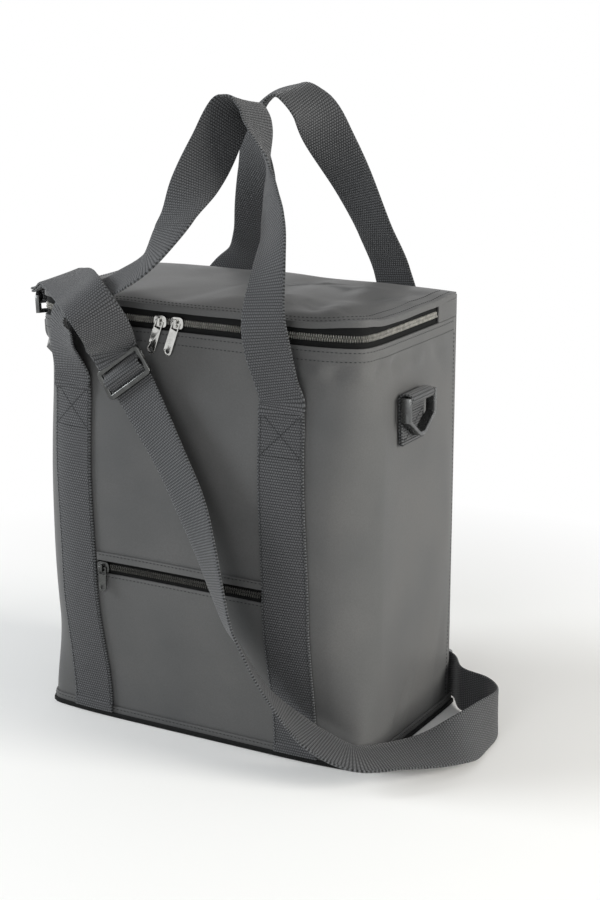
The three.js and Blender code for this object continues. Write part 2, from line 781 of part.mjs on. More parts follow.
// Webbing tabs on the sides with their five-sided rings
function sideWall(side, z) {
  return swell(side * halfWidth, ringAcross, z);
}
const tabOffWall = webbingOffWall;
const tailLean = sideWall(1, ringHeight - tabTail).x - sideWall(1, ringHeight).x;
const barOut = tabOffWall + tailLean + 2 * tabLayer + clearance + ringDepth / 2;
const tabLoop = ringBarRadius + clearance;
function tabShape() {
  const shape = new THREE.Shape();
  const outside = tabLoop + tabLayer;
  shape.moveTo(tabOffWall + tailLean, -tabTail);
  shape.lineTo(tabOffWall + tailLean + 2 * tabLayer, -tabTail);
  shape.lineTo(tabOffWall + 2 * tabLayer, -outside);
  shape.absarc(barOut, 0, outside, -Math.PI * 0.75, Math.PI / 2);
  shape.lineTo(tabOffWall + tabLayer, outside);
  shape.lineTo(tabOffWall, outside - tabLayer);
  const hole = new THREE.Path();
  hole.absarc(barOut, 0, tabLoop, 0, Math.PI * 2);
  shape.holes.push(hole);
  return shape;
}
function ringGeometry() {
  const inside = webbingWidth / 2 + 2 * clearance;
  const outside = inside + ringWall;
  const shape = new THREE.Shape();
  const outline = [
    [-outside, ringBarRadius],
    [-outside, -ringSide],
    [-ringFlat, -ringTip],
    [ringFlat, -ringTip],
    [outside, -ringSide],
    [outside, ringBarRadius],
    [inside, ringBarRadius],
    [inside, -ringSide + ringBend],
    [ringFlat, -ringTip + ringWall],
    [-ringFlat, -ringTip + ringWall],
    [-inside, -ringSide + ringBend],
    [-inside, ringBarRadius],
  ];
  shape.setFromPoints(outline.map(([x, y]) => new THREE.Vector2(x, y)));
  const bar = rod(ringBarRadius, 2 * inside + ringWall).rotateZ(Math.PI / 2);
  return join(extruded(shape, ringDepth), bar);
}
for (const [end, side, lift] of [['left', -1, leftRingLift], ['right', 1, 0]]) {
  const foot = sideWall(side, ringHeight);
  const outward = X.clone().multiplyScalar(side);
  const wide = Y.clone().multiplyScalar(-side);
  const tab = placed(extruded(tabShape(), webbingWidth, 6), outward, Z, wide, foot);
  add(`ring_tab_${end}`, tab, colours.webbing);
  const centre = foot.clone().addScaledVector(outward, barOut);
  const down = Z.clone().negate().applyAxisAngle(wide, lift).normalize();
  const up = down.clone().negate();
  const through = new THREE.Vector3().crossVectors(wide, up);
  add(`d_ring_${end}`, placed(ringGeometry(), wide, up, through, centre), colours.gunmetal);
}

// Snap hook: a plate hook with a gate, on a swivel post in a webbing eye
function hookGeometry() {
  const outside = hookInside + hookWire;
  const gateFoot = 2;
  const shape = new THREE.Shape();
  shape.moveTo(-outside, gateFoot);
  shape.absarc(0, 0, outside, Math.PI, Math.PI * 2);
  shape.lineTo(outside, hookSlotTop);
  shape.lineTo(hookWire, hookStemTop);
  shape.lineTo(-hookWire, hookStemTop);
  shape.lineTo(-outside, hookSlotTop + hookWire / 2);
  shape.lineTo(-outside, hookSlotTop);
  shape.lineTo(hookInside, hookSlotTop);
  shape.lineTo(hookInside, 0);
  shape.absarc(0, 0, hookInside, 0, -Math.PI, true);
  shape.lineTo(-hookInside, gateFoot);
  const postTop = hookStemTop + clearance + eyeBase + clearance;
  const post = rod(swivelRadius, postTop - hookStemTop + hookWire);
  post.translate(0, (postTop + hookStemTop - hookWire) / 2, 0);
  const head = rod(2 * swivelRadius, swivelHead).translate(0, postTop + swivelHead / 2, 0);
  return join(extruded(shape, hookPlate, 8), post, head);
}
const gateWide = hookWire - 2 * clearance;
const gateX = -hookInside - hookWire / 2;
const gatePivot = hookSlotTop - clearance - gateWide / 2;
function gateGeometry() {
  const foot = 2 + clearance;
  const shape = new THREE.Shape();
  shape.moveTo(gateX - gateWide / 2, foot);
  shape.lineTo(gateX + gateWide / 2, foot);
  shape.lineTo(gateX + gateWide / 2, gatePivot);
  shape.absarc(gateX, gatePivot, gateWide / 2, 0, Math.PI);
  return extruded(shape, hookPlate - 2 * clearance, 8);
}
const eyeInside = webbingWidth / 2 + clearance;
const eyeBottom = hookStemTop + clearance;
const eyeBarAt = eyeBottom + eyeBase + eyeOpening + eyeBarRadius;
function eyeGeometry() {
  const outside = eyeInside + eyeDepth;
  const shape = new THREE.Shape();
  const outline = [
    [-outside, eyeBottom],
    [outside, eyeBottom],
    [outside, eyeBarAt + eyeBarRadius],
    [eyeInside, eyeBarAt + eyeBarRadius],
    [eyeInside, eyeBottom + eyeBase],
    [-eyeInside, eyeBottom + eyeBase],
    [-eyeInside, eyeBarAt + eyeBarRadius],
    [-outside, eyeBarAt + eyeBarRadius],
  ];
  shape.setFromPoints(outline.map(([x, y]) => new THREE.Vector2(x, y)));
  const bar = rod(eyeBarRadius, 2 * eyeInside + eyeDepth).rotateZ(Math.PI / 2).translate(0, eyeBarAt, 0);
  const hole = rod(swivelRadius + clearance, eyeBase + 2 * overrun).translate(0, eyeBottom, 0);
  return cut(join(extruded(shape, eyeDepth), bar), hole);
}
// The frame of a hook: its middle, its direction to the eye, and the eye's width
function hookFrame(at, up, wide) {
  const flat = new THREE.Vector3().crossVectors(up, wide).normalize();
  return { at, up, wide, flat };
}
function addHook(end, frame) {
  const { at, up, wide, flat } = frame;
  const sideways = flat.clone().negate();
  add(`hook_${end}`, placed(hookGeometry(), flat, up, sideways.clone().cross(up).negate(), at), colours.gunmetal);
  add(`hook_gate_${end}`, placed(gateGeometry(), flat, up, sideways.clone().cross(up).negate(), at), colours.nickel);
  add(`hook_eye_${end}`, placed(eyeGeometry(), wide, up, flat.clone().negate(), at), colours.gunmetal);
}

// The left hook holds the lifted left ring at its tip
const leftBar = sideWall(-1, ringHeight).addScaledVector(X, -barOut);
const ringReach = ringTip - ringWall / 2;
const leftTip = new THREE.Vector3(
  leftBar.x - ringReach * Math.sin(leftRingLift),
  leftBar.y,
  leftBar.z - ringReach * Math.cos(leftRingLift),
);
const ringSeat = (hookInside - ringDepth / 2) / 3;
const hookUp = new THREE.Vector3(-0.12, 0.1, 0.985).normalize();
const hookWide = Y.clone().addScaledVector(hookUp, -hookUp.y).normalize();
const leftHook = hookFrame(leftTip.clone().addScaledVector(hookUp, ringSeat), hookUp, hookWide);
addHook('left', leftHook);

// The shoulder strap leaves the left hook in two layers, runs over the lid's front left
// corner to the sliding loop, then down across the front, round on the floor and behind
const glideHeight = rimHeight - glideBelowRim;
const glideAt = new THREE.Vector3(
  -0.331 * halfWidth,
  frontFace(-0.331 * halfWidth, glideHeight) - 1.25 * strapOffFace,
  glideHeight,
);
const glideWide = new THREE.Vector3(0.81, 0.02, 0.59).normalize();
const glideDown = new THREE.Vector3(0.59, -0.06, -0.8);
glideDown.addScaledVector(glideWide, -glideDown.dot(glideWide)).normalize();
const glideOut = new THREE.Vector3().crossVectors(glideDown, glideWide).normalize();
const glideHigh = 3 * glideRail + 2 * glideSlot;
function glideGeometry() {
  const frame = extruded(roundedRect(webbingWidth + 2 * glideRail, glideHigh, glideRail), glideThickness);
  const slots = [-1, 1].map((side) => {
    const slot = new THREE.BoxGeometry(webbingWidth + 2 * clearance, glideSlot, 2 * glideThickness);
    return slot.translate(0, (side * (glideRail + glideSlot)) / 2, 0);
  });
  return cut(frame, ...slots);
}
add('tri_glide', placed(glideGeometry(), glideWide, glideDown, glideOut.clone().negate(), glideAt), colours.gunmetal);

// A point beside the sliding loop, down the strap and out of its plane
function nearGlide(down, out) {
  return {
    at: glideAt.clone().addScaledVector(glideDown, down).addScaledVector(glideOut, out),
    wide: glideWide,
  };
}
const strapUnder = -(glideThickness + webbingThickness) / 2 - 2 * clearance;
const strapOver = (glideThickness + webbingThickness) / 2 + 2 * clearance;
const slotMiddle = (glideRail + glideSlot) / 2;
const railMiddle = glideRail + glideSlot;
const glidePath = [
  nearGlide(-glideHigh / 2 - glideRail, strapUnder),
  nearGlide(-railMiddle, strapUnder),
  nearGlide(-slotMiddle - glideSlot / 2.2, strapUnder),
  nearGlide(-slotMiddle, 0),
  nearGlide(-glideRail / 2, strapOver),
  nearGlide(glideRail / 2, strapOver),
  nearGlide(slotMiddle, 0),
  nearGlide(slotMiddle + glideSlot / 2.2, strapUnder),
  nearGlide(railMiddle, strapUnder),
  nearGlide(glideHigh / 2 + glideRail, strapUnder),
];
// The hanging stretch: shares of the half width, of the strap's distance from the face and
// of the rim's height, then the direction across the webbing
const hangingShares = [
  [-0.028, 1.27, 0.728, 0.84, -0.23, 0.49],
  [0.126, 1.55, 0.622, 0.86, -0.3, 0.42],
  [0.227, 1.82, 0.524, 0.76, -0.48, 0.42],
  [0.299, 2, 0.435, 0.66, -0.62, 0.4],
  [0.371, 2.09, 0.349, 0.56, -0.74, 0.36],
  [0.438, 2.18, 0.3, 0.5, -0.82, 0.29],
  [0.521, 2.27, 0.236, 0.47, -0.85, 0.22],
  [0.6, 2.27, 0.185, 0.46, -0.88, 0.13],
  [0.721, 2.27, 0.134, 0.44, -0.9, -0.08],
];
// The stretch on the floor: shares of the half width and the half depth, and of the width
// of the webbing for its middle's height
const floorShares = [
  [0.86, -1.42, 0.84, 0.4, -0.9, -0.14],
  [1.034, -1.325, 0.58, 0.35, -0.93, -0.08],
  [1.2, -0.98, 0.5, 0.4, -0.9, -0.12],
  [1.315, -0.69, 0.48, 0.4, -0.86, -0.3],
  [1.405, -0.36, 0.52, 0.36, -0.7, -0.58],
  [1.43, 0.038, 0.54, 0.26, -0.44, -0.85],
  [1.42, 0.466, 0.53, 0.06, -0.1, -0.99],
  [1.303, 0.727, 0.52, 0, 0, -1],
  [1.11, 0.86, 0.52, 0, 0, -1],
  [0.99, 1.13, 0.56, 0, 0, -1],
  [0.8, 1.26, 0.58, 0, 0, -1],
  [0.4, 1.26, 0.54, 0, 0, -1],
  [0, 1.26, 0.54, 0, 0, -1],
  [-0.4, 1.26, 0.54, 0, 0, -1],
  [-0.7, 1.27, 0.54, 0, 0, -1],
  [-0.79, 1.4, 0.54, 0, 0, -1],
  [-0.7, 1.54, 0.54, 0, 0, -1],
  [-0.4, 1.56, 0.56, 0, 0, -1],
  [-0.1, 1.56, 0.6, 0, 0, -1],
  [0.1, 1.56, 0.62, 0, 0, -1],
];
const hanging = hangingShares.map(([x, off, z, wx, wy, wz]) => ({
  at: new THREE.Vector3(
    x * halfWidth,
    frontFace(x * halfWidth, z * rimHeight) - off * strapOffFace,
    z * rimHeight,
  ),
  wide: new THREE.Vector3(wx, wy, wz).normalize(),
}));
const onFloor = floorShares.map(([x, y, z, wx, wy, wz]) => ({
  at: new THREE.Vector3(x * halfWidth, y * halfDepth, z * webbingWidth),
  wide: new THREE.Vector3(wx, wy, wz).normalize(),
}));

// The loop of webbing round an eye's bar, from one side of the strap to the other
function eyeTurn(bar, toStrap, wide, count) {
  const radius = eyeBarRadius + 4 * clearance + webbingThickness / 2;
  const aside = new THREE.Vector3().crossVectors(wide, toStrap).normalize();
  return steps(-Math.PI / 2, Math.PI / 2, count).map((angle) => ({
    at: bar.clone()
      .addScaledVector(toStrap, -radius * Math.cos(angle))
      .addScaledVector(aside, radius * Math.sin(angle)),
    wide,
  }));
}
const layerGap = (webbingThickness + clearance) / 2;

const strapEnd = onFloor[onFloor.length - 1].at;
const rightEyeBar = new THREE.Vector3(
  strapEnd.x + 2 * webbingWidth,
  strapEnd.y,
  eyeInside + eyeDepth + 2 * floorGap,
);
const rightTurn = eyeTurn(rightEyeBar, X.clone().negate(), Z.clone().negate(), 4);
const sewnEnd = {
  at: rightEyeBar.clone().addScaledVector(X, -webbingWidth).addScaledVector(Y, -layerGap),
  wide: Z.clone().negate(),
};
const sewnStart = {
  at: rightEyeBar.clone().addScaledVector(X, -webbingWidth).addScaledVector(Y, layerGap),
  wide: Z.clone().negate(),
};
const turnBack = rightTurn[0].at.y > rightEyeBar.y ? rightTurn : [...rightTurn].reverse();
const strapRoute = [...glidePath, ...hanging, ...onFloor, sewnStart, ...turnBack, sewnEnd];
add('shoulder_strap', ribbon(strapRoute, webbingWidth, webbingThickness, 2), colours.webbing);
const rightHookAt = rightEyeBar.clone().addScaledVector(X, eyeBarAt);
addHook('right', hookFrame(rightHookAt, X.clone().negate(), Z));

// Over the lid's corner: shares as for the handles, from the left hook's eye to the loop.
// The two layers lie on each other and part at the eye.
const bightShares = [
  [-1.162, -0.31, 1.055, 0.25, 0.94, 0.22],
  [-0.938, -0.77, 1.09, 0.56, 0.7, 0.44],
  [-0.67, -1.35, 1.094, 0.5, 0.6, 0.62],
  [-0.481, -1.673, 1.084, 0.46, 0.56, 0.69],
  [-0.392, -1.72, 1.05, 0.6, 0.36, 0.68],
  [-0.37, -1.58, 1.003, 0.72, 0.16, 0.65],
];
const leftEyeBar = leftHook.at.clone().addScaledVector(hookUp, eyeBarAt);
const loopReach = webbingWidth / 4;
const bandStart = { at: leftEyeBar.clone().addScaledVector(hookUp, loopReach), wide: hookWide };
const bandEnd = nearGlide(-glideHigh / 2 - 2 * glideRail, strapUnder);
const bandThickness = 2 * webbingThickness + clearance;
const band = ribbon([bandStart, ...routeOf(bightShares), bandEnd], webbingWidth, bandThickness, 3);
const leftTurn = eyeTurn(leftEyeBar, hookUp, hookWide, 4);
const aside = leftTurn[4].at.clone().sub(leftTurn[0].at).normalize();
const loopEnds = [-1, 1].map((side) => ({
  at: bandStart.at.clone()
    .addScaledVector(hookUp, webbingThickness)
    .addScaledVector(aside, side * (layerGap - 0.5 * clearance)),
  wide: hookWide,
}));
const loop = ribbon([loopEnds[0], ...leftTurn, loopEnds[1]], webbingWidth - clearance, webbingThickness, 2);
add('strap_bight', join(band, loop), colours.webbing);

// Sliders with their pulls
const archGap = archRise - pullThickness;
function sliderGeometry() {
  const plateShape = roundedRect(sliderLength, sliderHeight, sliderHeight / 3);
  const body = extruded(plateShape, sliderPlate).translate(0, 0, sliderPlate / 2);
  const high = 0.66 * sliderHeight;
  const bar = new THREE.BoxGeometry(archWidth, high, archBar);
  bar.translate(0, 0, sliderPlate + archRise + archBar / 2);
  const legs = [-1, 1].map((side) => {
    const leg = new THREE.BoxGeometry(archWidth, archBar, archRise + archBar + sliderPlate / 2);
    return leg.translate(0, (side * (high - archBar)) / 2, sliderPlate / 2 + (archRise + archBar) / 2);
  });
  return join(body, bar, ...legs);
}
const pullEye = 5.2;
const pullEyeHeight = 5;
function pullGeometry(length) {
  const shape = new THREE.Shape();
  const top = archGap;
  const wide = pullWidth / 2;
  shape.moveTo(-wide, top);
  shape.lineTo(-wide, -length + wide);
  shape.absarc(0, -length + wide, wide, Math.PI, Math.PI * 2);
  shape.lineTo(wide, top);
  const eye = new THREE.Path();
  eye.moveTo(-pullEye / 2, top - archBar);
  eye.lineTo(pullEye / 2, top - archBar);
  eye.lineTo(pullEye / 2, top - archBar - pullEyeHeight);
  eye.lineTo(-pullEye / 2, top - archBar - pullEyeHeight);
  shape.holes.push(eye);
  const hole = new THREE.Path();
  hole.absarc(0, -length + wide, wide / 2, 0, Math.PI * 2);
  shape.holes.push(hole);
  return extruded(shape, pullThickness, 6);
}
function addSlider(name, at, along, length, lean) {
  const out = new THREE.Vector3().crossVectors(along, Z).normalize();
  add(`${name}_slider`, placed(sliderGeometry(), along, Z, out, at), colours.nickel);
  const sideways = along.clone().applyAxisAngle(out, -lean);
  const up = Z.clone().applyAxisAngle(out, -lean);
  const pivot = at.clone().addScaledVector(out, sliderPlate + archRise / 2);
  add(`${name}_pull`, placed(pullGeometry(length), sideways, up, out, pivot), colours.nickel);
}
const lidZipMiddle = bodyCoilTop + 0.5 * clearance;
function onLidZip(x) {
  const face = swell(x, -halfDepth + coilInset, lidZipMiddle);
  return face.addScaledVector(back, 1.5 * clearance);
}
addSlider('zip_left', onLidZip(leftSliderX), X, lidPullLength, pullLean);
addSlider('zip_right', onLidZip(rightSliderX), X, lidPullLength, pullLean);
const pocketMiddle = pocketCoilBottom + coilHeight;
const pocketAt = swell(pocketSliderX, -halfDepth, pocketMiddle).addScaledVector(back, 4 * clearance);
addSlider('pocket', pocketAt, X, pocketPullLength, 0);

export default bag;
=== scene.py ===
import json
import math

import bpy
from mathutils import Matrix, Vector, noise
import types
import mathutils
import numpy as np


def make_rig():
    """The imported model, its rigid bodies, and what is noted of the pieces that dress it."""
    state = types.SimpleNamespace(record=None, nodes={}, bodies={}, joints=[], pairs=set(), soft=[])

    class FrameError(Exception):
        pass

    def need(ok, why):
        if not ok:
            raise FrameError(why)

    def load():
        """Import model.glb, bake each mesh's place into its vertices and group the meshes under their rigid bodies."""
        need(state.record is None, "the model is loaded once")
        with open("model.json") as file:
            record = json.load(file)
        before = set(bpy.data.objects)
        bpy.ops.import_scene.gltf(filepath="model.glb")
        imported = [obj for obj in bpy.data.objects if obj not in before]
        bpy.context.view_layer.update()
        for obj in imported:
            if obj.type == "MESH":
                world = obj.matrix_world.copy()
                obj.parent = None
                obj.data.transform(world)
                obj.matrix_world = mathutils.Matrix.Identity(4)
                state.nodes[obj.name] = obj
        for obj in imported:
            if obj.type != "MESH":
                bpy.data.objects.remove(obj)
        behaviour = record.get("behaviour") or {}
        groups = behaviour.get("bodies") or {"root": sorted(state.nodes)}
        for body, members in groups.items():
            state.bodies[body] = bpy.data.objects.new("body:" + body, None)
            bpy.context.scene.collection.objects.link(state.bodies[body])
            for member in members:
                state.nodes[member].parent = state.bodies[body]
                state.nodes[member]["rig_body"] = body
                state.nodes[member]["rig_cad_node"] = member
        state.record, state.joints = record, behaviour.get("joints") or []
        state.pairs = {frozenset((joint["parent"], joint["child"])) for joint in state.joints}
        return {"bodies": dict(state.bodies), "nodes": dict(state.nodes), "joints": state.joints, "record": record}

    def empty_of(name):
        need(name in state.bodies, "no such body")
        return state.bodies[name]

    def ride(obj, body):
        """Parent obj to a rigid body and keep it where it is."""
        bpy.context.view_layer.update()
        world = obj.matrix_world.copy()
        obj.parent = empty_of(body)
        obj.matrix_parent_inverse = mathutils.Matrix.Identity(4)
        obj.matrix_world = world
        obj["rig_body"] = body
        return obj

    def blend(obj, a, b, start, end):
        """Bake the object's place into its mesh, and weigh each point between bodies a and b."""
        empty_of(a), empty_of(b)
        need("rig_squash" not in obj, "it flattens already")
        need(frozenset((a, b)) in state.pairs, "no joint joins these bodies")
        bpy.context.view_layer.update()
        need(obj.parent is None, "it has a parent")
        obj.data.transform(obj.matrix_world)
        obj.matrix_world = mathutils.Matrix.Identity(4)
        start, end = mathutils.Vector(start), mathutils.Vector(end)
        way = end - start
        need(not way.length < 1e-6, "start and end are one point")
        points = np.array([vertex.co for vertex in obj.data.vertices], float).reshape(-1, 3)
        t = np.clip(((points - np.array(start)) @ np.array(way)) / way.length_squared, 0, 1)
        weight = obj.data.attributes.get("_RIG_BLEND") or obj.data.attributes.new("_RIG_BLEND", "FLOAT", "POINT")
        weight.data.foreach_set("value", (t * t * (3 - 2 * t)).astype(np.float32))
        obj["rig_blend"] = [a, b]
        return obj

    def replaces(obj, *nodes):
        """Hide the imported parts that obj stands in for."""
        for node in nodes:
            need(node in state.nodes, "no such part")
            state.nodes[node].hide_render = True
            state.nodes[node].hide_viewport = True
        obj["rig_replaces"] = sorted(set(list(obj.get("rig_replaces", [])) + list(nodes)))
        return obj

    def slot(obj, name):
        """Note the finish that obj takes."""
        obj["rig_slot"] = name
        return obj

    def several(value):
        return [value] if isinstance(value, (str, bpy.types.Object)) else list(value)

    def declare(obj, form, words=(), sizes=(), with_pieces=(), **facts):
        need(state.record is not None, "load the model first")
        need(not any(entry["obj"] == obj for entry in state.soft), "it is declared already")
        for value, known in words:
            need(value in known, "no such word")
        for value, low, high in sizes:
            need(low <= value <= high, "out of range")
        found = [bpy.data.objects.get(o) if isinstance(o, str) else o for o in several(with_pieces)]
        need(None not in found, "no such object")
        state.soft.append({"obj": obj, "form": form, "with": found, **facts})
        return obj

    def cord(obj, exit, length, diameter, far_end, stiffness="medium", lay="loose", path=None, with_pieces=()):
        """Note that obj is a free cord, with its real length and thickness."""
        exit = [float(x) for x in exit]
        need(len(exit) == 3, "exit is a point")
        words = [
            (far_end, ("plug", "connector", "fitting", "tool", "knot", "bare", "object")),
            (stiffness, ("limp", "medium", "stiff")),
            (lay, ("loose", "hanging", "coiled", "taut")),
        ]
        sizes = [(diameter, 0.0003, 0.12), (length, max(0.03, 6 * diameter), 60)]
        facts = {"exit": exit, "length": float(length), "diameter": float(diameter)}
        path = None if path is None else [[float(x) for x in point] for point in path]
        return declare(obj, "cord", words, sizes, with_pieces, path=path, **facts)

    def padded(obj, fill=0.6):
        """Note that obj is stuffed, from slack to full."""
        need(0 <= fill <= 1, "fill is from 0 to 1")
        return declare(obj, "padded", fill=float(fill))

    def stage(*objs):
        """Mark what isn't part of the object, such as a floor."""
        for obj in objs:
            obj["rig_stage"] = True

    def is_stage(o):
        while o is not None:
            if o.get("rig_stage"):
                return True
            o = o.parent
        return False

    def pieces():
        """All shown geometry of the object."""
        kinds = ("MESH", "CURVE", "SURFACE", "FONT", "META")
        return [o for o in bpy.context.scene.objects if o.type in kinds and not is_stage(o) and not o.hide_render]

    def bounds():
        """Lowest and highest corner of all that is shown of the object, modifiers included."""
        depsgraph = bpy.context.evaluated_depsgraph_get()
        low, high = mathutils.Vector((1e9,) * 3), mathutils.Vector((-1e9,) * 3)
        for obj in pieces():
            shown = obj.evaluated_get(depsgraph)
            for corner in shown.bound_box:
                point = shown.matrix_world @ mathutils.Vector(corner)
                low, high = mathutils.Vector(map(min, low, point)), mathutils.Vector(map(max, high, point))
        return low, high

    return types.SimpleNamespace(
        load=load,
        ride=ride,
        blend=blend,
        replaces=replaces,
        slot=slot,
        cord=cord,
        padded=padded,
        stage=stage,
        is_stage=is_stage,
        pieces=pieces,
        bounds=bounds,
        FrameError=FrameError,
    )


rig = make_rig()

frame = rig.load()
cad_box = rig.bounds()

MM = 0.001

# The bag's sizes in metres, as in its CAD
HALF_WIDTH, HALF_DEPTH, RIM = 0.145, 0.077, 0.328
CORNER, SIDE_END = 0.026, 0.0733
FABRIC, GAP = 0.0016, 0.0003
WEBBING_WIDTH, WEBBING = 0.038, 0.002
STITCH_TOP, RING_HEIGHT, RING_ACROSS = 0.279, 0.283, -0.014
SKIRT_BOTTOM, LID_EDGE, LID_CROWN, LID_REAR = 0.3426, 0.3471, 0.005, 0.073
COILS_BOTTOM, COILS_TOP, ZIP_REAR = 0.3326, 0.3373, 0.038
PIPING_X, PIPING_Y, PIPING = 0.1433, 0.0753, 0.0017
HINGE_HEIGHT, REAR_TOP, FOAM_TOP = 0.34485, 0.34285, 0.3187
FOAM_INSET, FOAM_WALL, LINER_INSET = 0.0019, 0.0063, 0.0088
POCKET_LEFT, POCKET_RIGHT, SLOT_LOW, SLOT_HIGH = -0.0804, 0.0704, 0.130, 0.141


# The camera stands where the photograph was taken
def make_camera():
    yaw, rise, distance = math.radians(29.41), math.radians(14.97), 1.456
    aim = Vector((0.0462, 0, 0.2229))
    back = Vector((math.sin(yaw) * math.cos(rise), -math.cos(yaw) * math.cos(rise), math.sin(rise)))
    lens = bpy.data.cameras.new("camera")
    lens.sensor_width, lens.lens = 36, 73.52
    lens.clip_start, lens.clip_end = 0.05, 50
    camera = bpy.data.objects.new("camera", lens)
    camera.rotation_mode = "QUATERNION"
    camera.location = aim + back * distance
    camera.rotation_quaternion = (-back).to_track_quat("-Z", "Y")
    bpy.context.scene.collection.objects.link(camera)
    bpy.context.scene.camera = camera


make_camera()


# Small tools of the bench
def deselect():
    for thing in bpy.context.selected_objects:
        thing.select_set(False)


def finished(piece, *modifiers):
    """Applies the modifiers, each given as (type, settings)."""
    deselect()
    bpy.context.view_layer.objects.active = piece
    piece.select_set(True)
    for kind, settings in modifiers:
        modifier = piece.modifiers.new(kind.lower(), kind)
        for name, value in settings.items():
            setattr(modifier, name, value)
        bpy.ops.object.modifier_apply(modifier=modifier.name)
    return piece


def smooth(piece, angle=40):
    deselect()
    bpy.context.view_layer.objects.active = piece
    piece.select_set(True)
    bpy.ops.object.shade_smooth_by_angle(angle=math.radians(angle))
    piece.select_set(False)


def edit(piece, *steps):
    """Runs edit-mode operators on the whole piece."""
    deselect()
    bpy.context.view_layer.objects.active = piece
    piece.select_set(True)
    bpy.ops.object.mode_set(mode="EDIT")
    bpy.ops.mesh.select_all(action="SELECT")
    for step in steps:
        step()
    bpy.ops.object.mode_set(mode="OBJECT")
    piece.select_set(False)


def cut_out(piece, inside):
    """Deletes the faces whose middles are inside."""
    mesh = piece.data
    mesh.vertices.foreach_set("select", [False] * len(mesh.vertices))
    mesh.edges.foreach_set("select", [False] * len(mesh.edges))
    mesh.polygons.foreach_set("select", [bool(inside(*face.center)) for face in mesh.polygons])
    bpy.context.tool_settings.mesh_select_mode = (False, False, True)
    deselect()
    bpy.context.view_layer.objects.active = piece
    piece.select_set(True)
    bpy.ops.object.mode_set(mode="EDIT")
    bpy.ops.mesh.delete(type="FACE")
    bpy.ops.object.mode_set(mode="OBJECT")
    bpy.context.tool_settings.mesh_select_mode = (True, False, False)
    piece.select_set(False)


def joined(name, pieces):
    deselect()
    for piece in pieces:
        piece.select_set(True)
    bpy.context.view_layer.objects.active = pieces[0]
    bpy.ops.object.join()
    pieces[0].name = pieces[0].data.name = name
    deselect()
    return pieces[0]


def dressed(piece, body, slot, material, *nodes):
    """Rides a piece on its body, if it has one, and gives it its finish, in place of its CAD nodes."""
    piece.data.materials.clear()
    piece.data.materials.append(material)
    if body:
        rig.ride(piece, body)
    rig.slot(piece, slot)
    if nodes:
        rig.replaces(piece, *nodes)
    return piece


# Materials
def linear(hex_colour):
    """A colour written as sRGB hex, as the linear values that a node takes."""
    parts = [int(hex_colour[i:i + 2], 16) / 255 for i in (1, 3, 5)]
    return [p / 12.92 if p <= 0.04045 else ((p + 0.055) / 1.055) ** 2.4 for p in parts] + [1]


def add_node(tree, kind, inputs=None, **settings):
    """Adds a node; each input is a value or the socket that feeds it."""
    made = tree.nodes.new(kind)
    for name, value in settings.items():
        setattr(made, name, value)
    for key, value in (inputs or {}).items():
        if isinstance(value, bpy.types.NodeSocket):
            tree.links.new(value, made.inputs[key])
        else:
            made.inputs[key].default_value = value
    return made


def new_material(name, colour, roughness, **shader):
    """A material with its shader; returns it with its tree and the shader."""
    material = bpy.data.materials.new(name)
    material.use_nodes = True
    tree = material.node_tree
    tree.nodes.clear()
    principled = add_node(tree, "ShaderNodeBsdfPrincipled", {
        "Base Color": linear(colour), "Roughness": roughness, **shader,
    })
    add_node(tree, "ShaderNodeOutputMaterial", {"Surface": principled.outputs[0]})
    return material, tree, principled


def place_of(tree):
    return add_node(tree, "ShaderNodeTexCoord").outputs["Object"]


def speckle(tree, where, size, detail=2):
    """Noise whose grains are about that many millimetres across."""
    made = add_node(tree, "ShaderNodeTexNoise", {
        "Vector": where, "Scale": 1 / (size * MM), "Detail": detail,
    })
    return made.outputs["Fac"]


def mix(tree, factor, first, second):
    made = add_node(tree, "ShaderNodeMix", {0: factor, 6: first, 7: second}, data_type="RGBA")
    return made.outputs[2]


def maths(tree, operation, *values):
    made = add_node(tree, "ShaderNodeMath", dict(enumerate(values)), operation=operation)
    return made.outputs[0]


def graded(tree, value, low, high, to_low, to_high):
    made = add_node(tree, "ShaderNodeMapRange", {
        0: value, 1: low, 2: high, 3: to_low, 4: to_high,
    })
    return made.outputs[0]


def raised(tree, principled, height, distance):
    """Feeds the shader's normal from a height, the distance being that of a height of 1."""
    bump = add_node(tree, "ShaderNodeBump", {"Strength": 1.0, "Distance": distance, "Height": height})
    tree.links.new(bump.outputs[0], principled.inputs["Normal"])


def tinted(tree, principled, share, first, second):
    """Feeds the shader's colour from two sRGB hex colours, mixed by a share."""
    colour = mix(tree, share, linear(first), linear(second))
    tree.links.new(colour, principled.inputs["Base Color"])


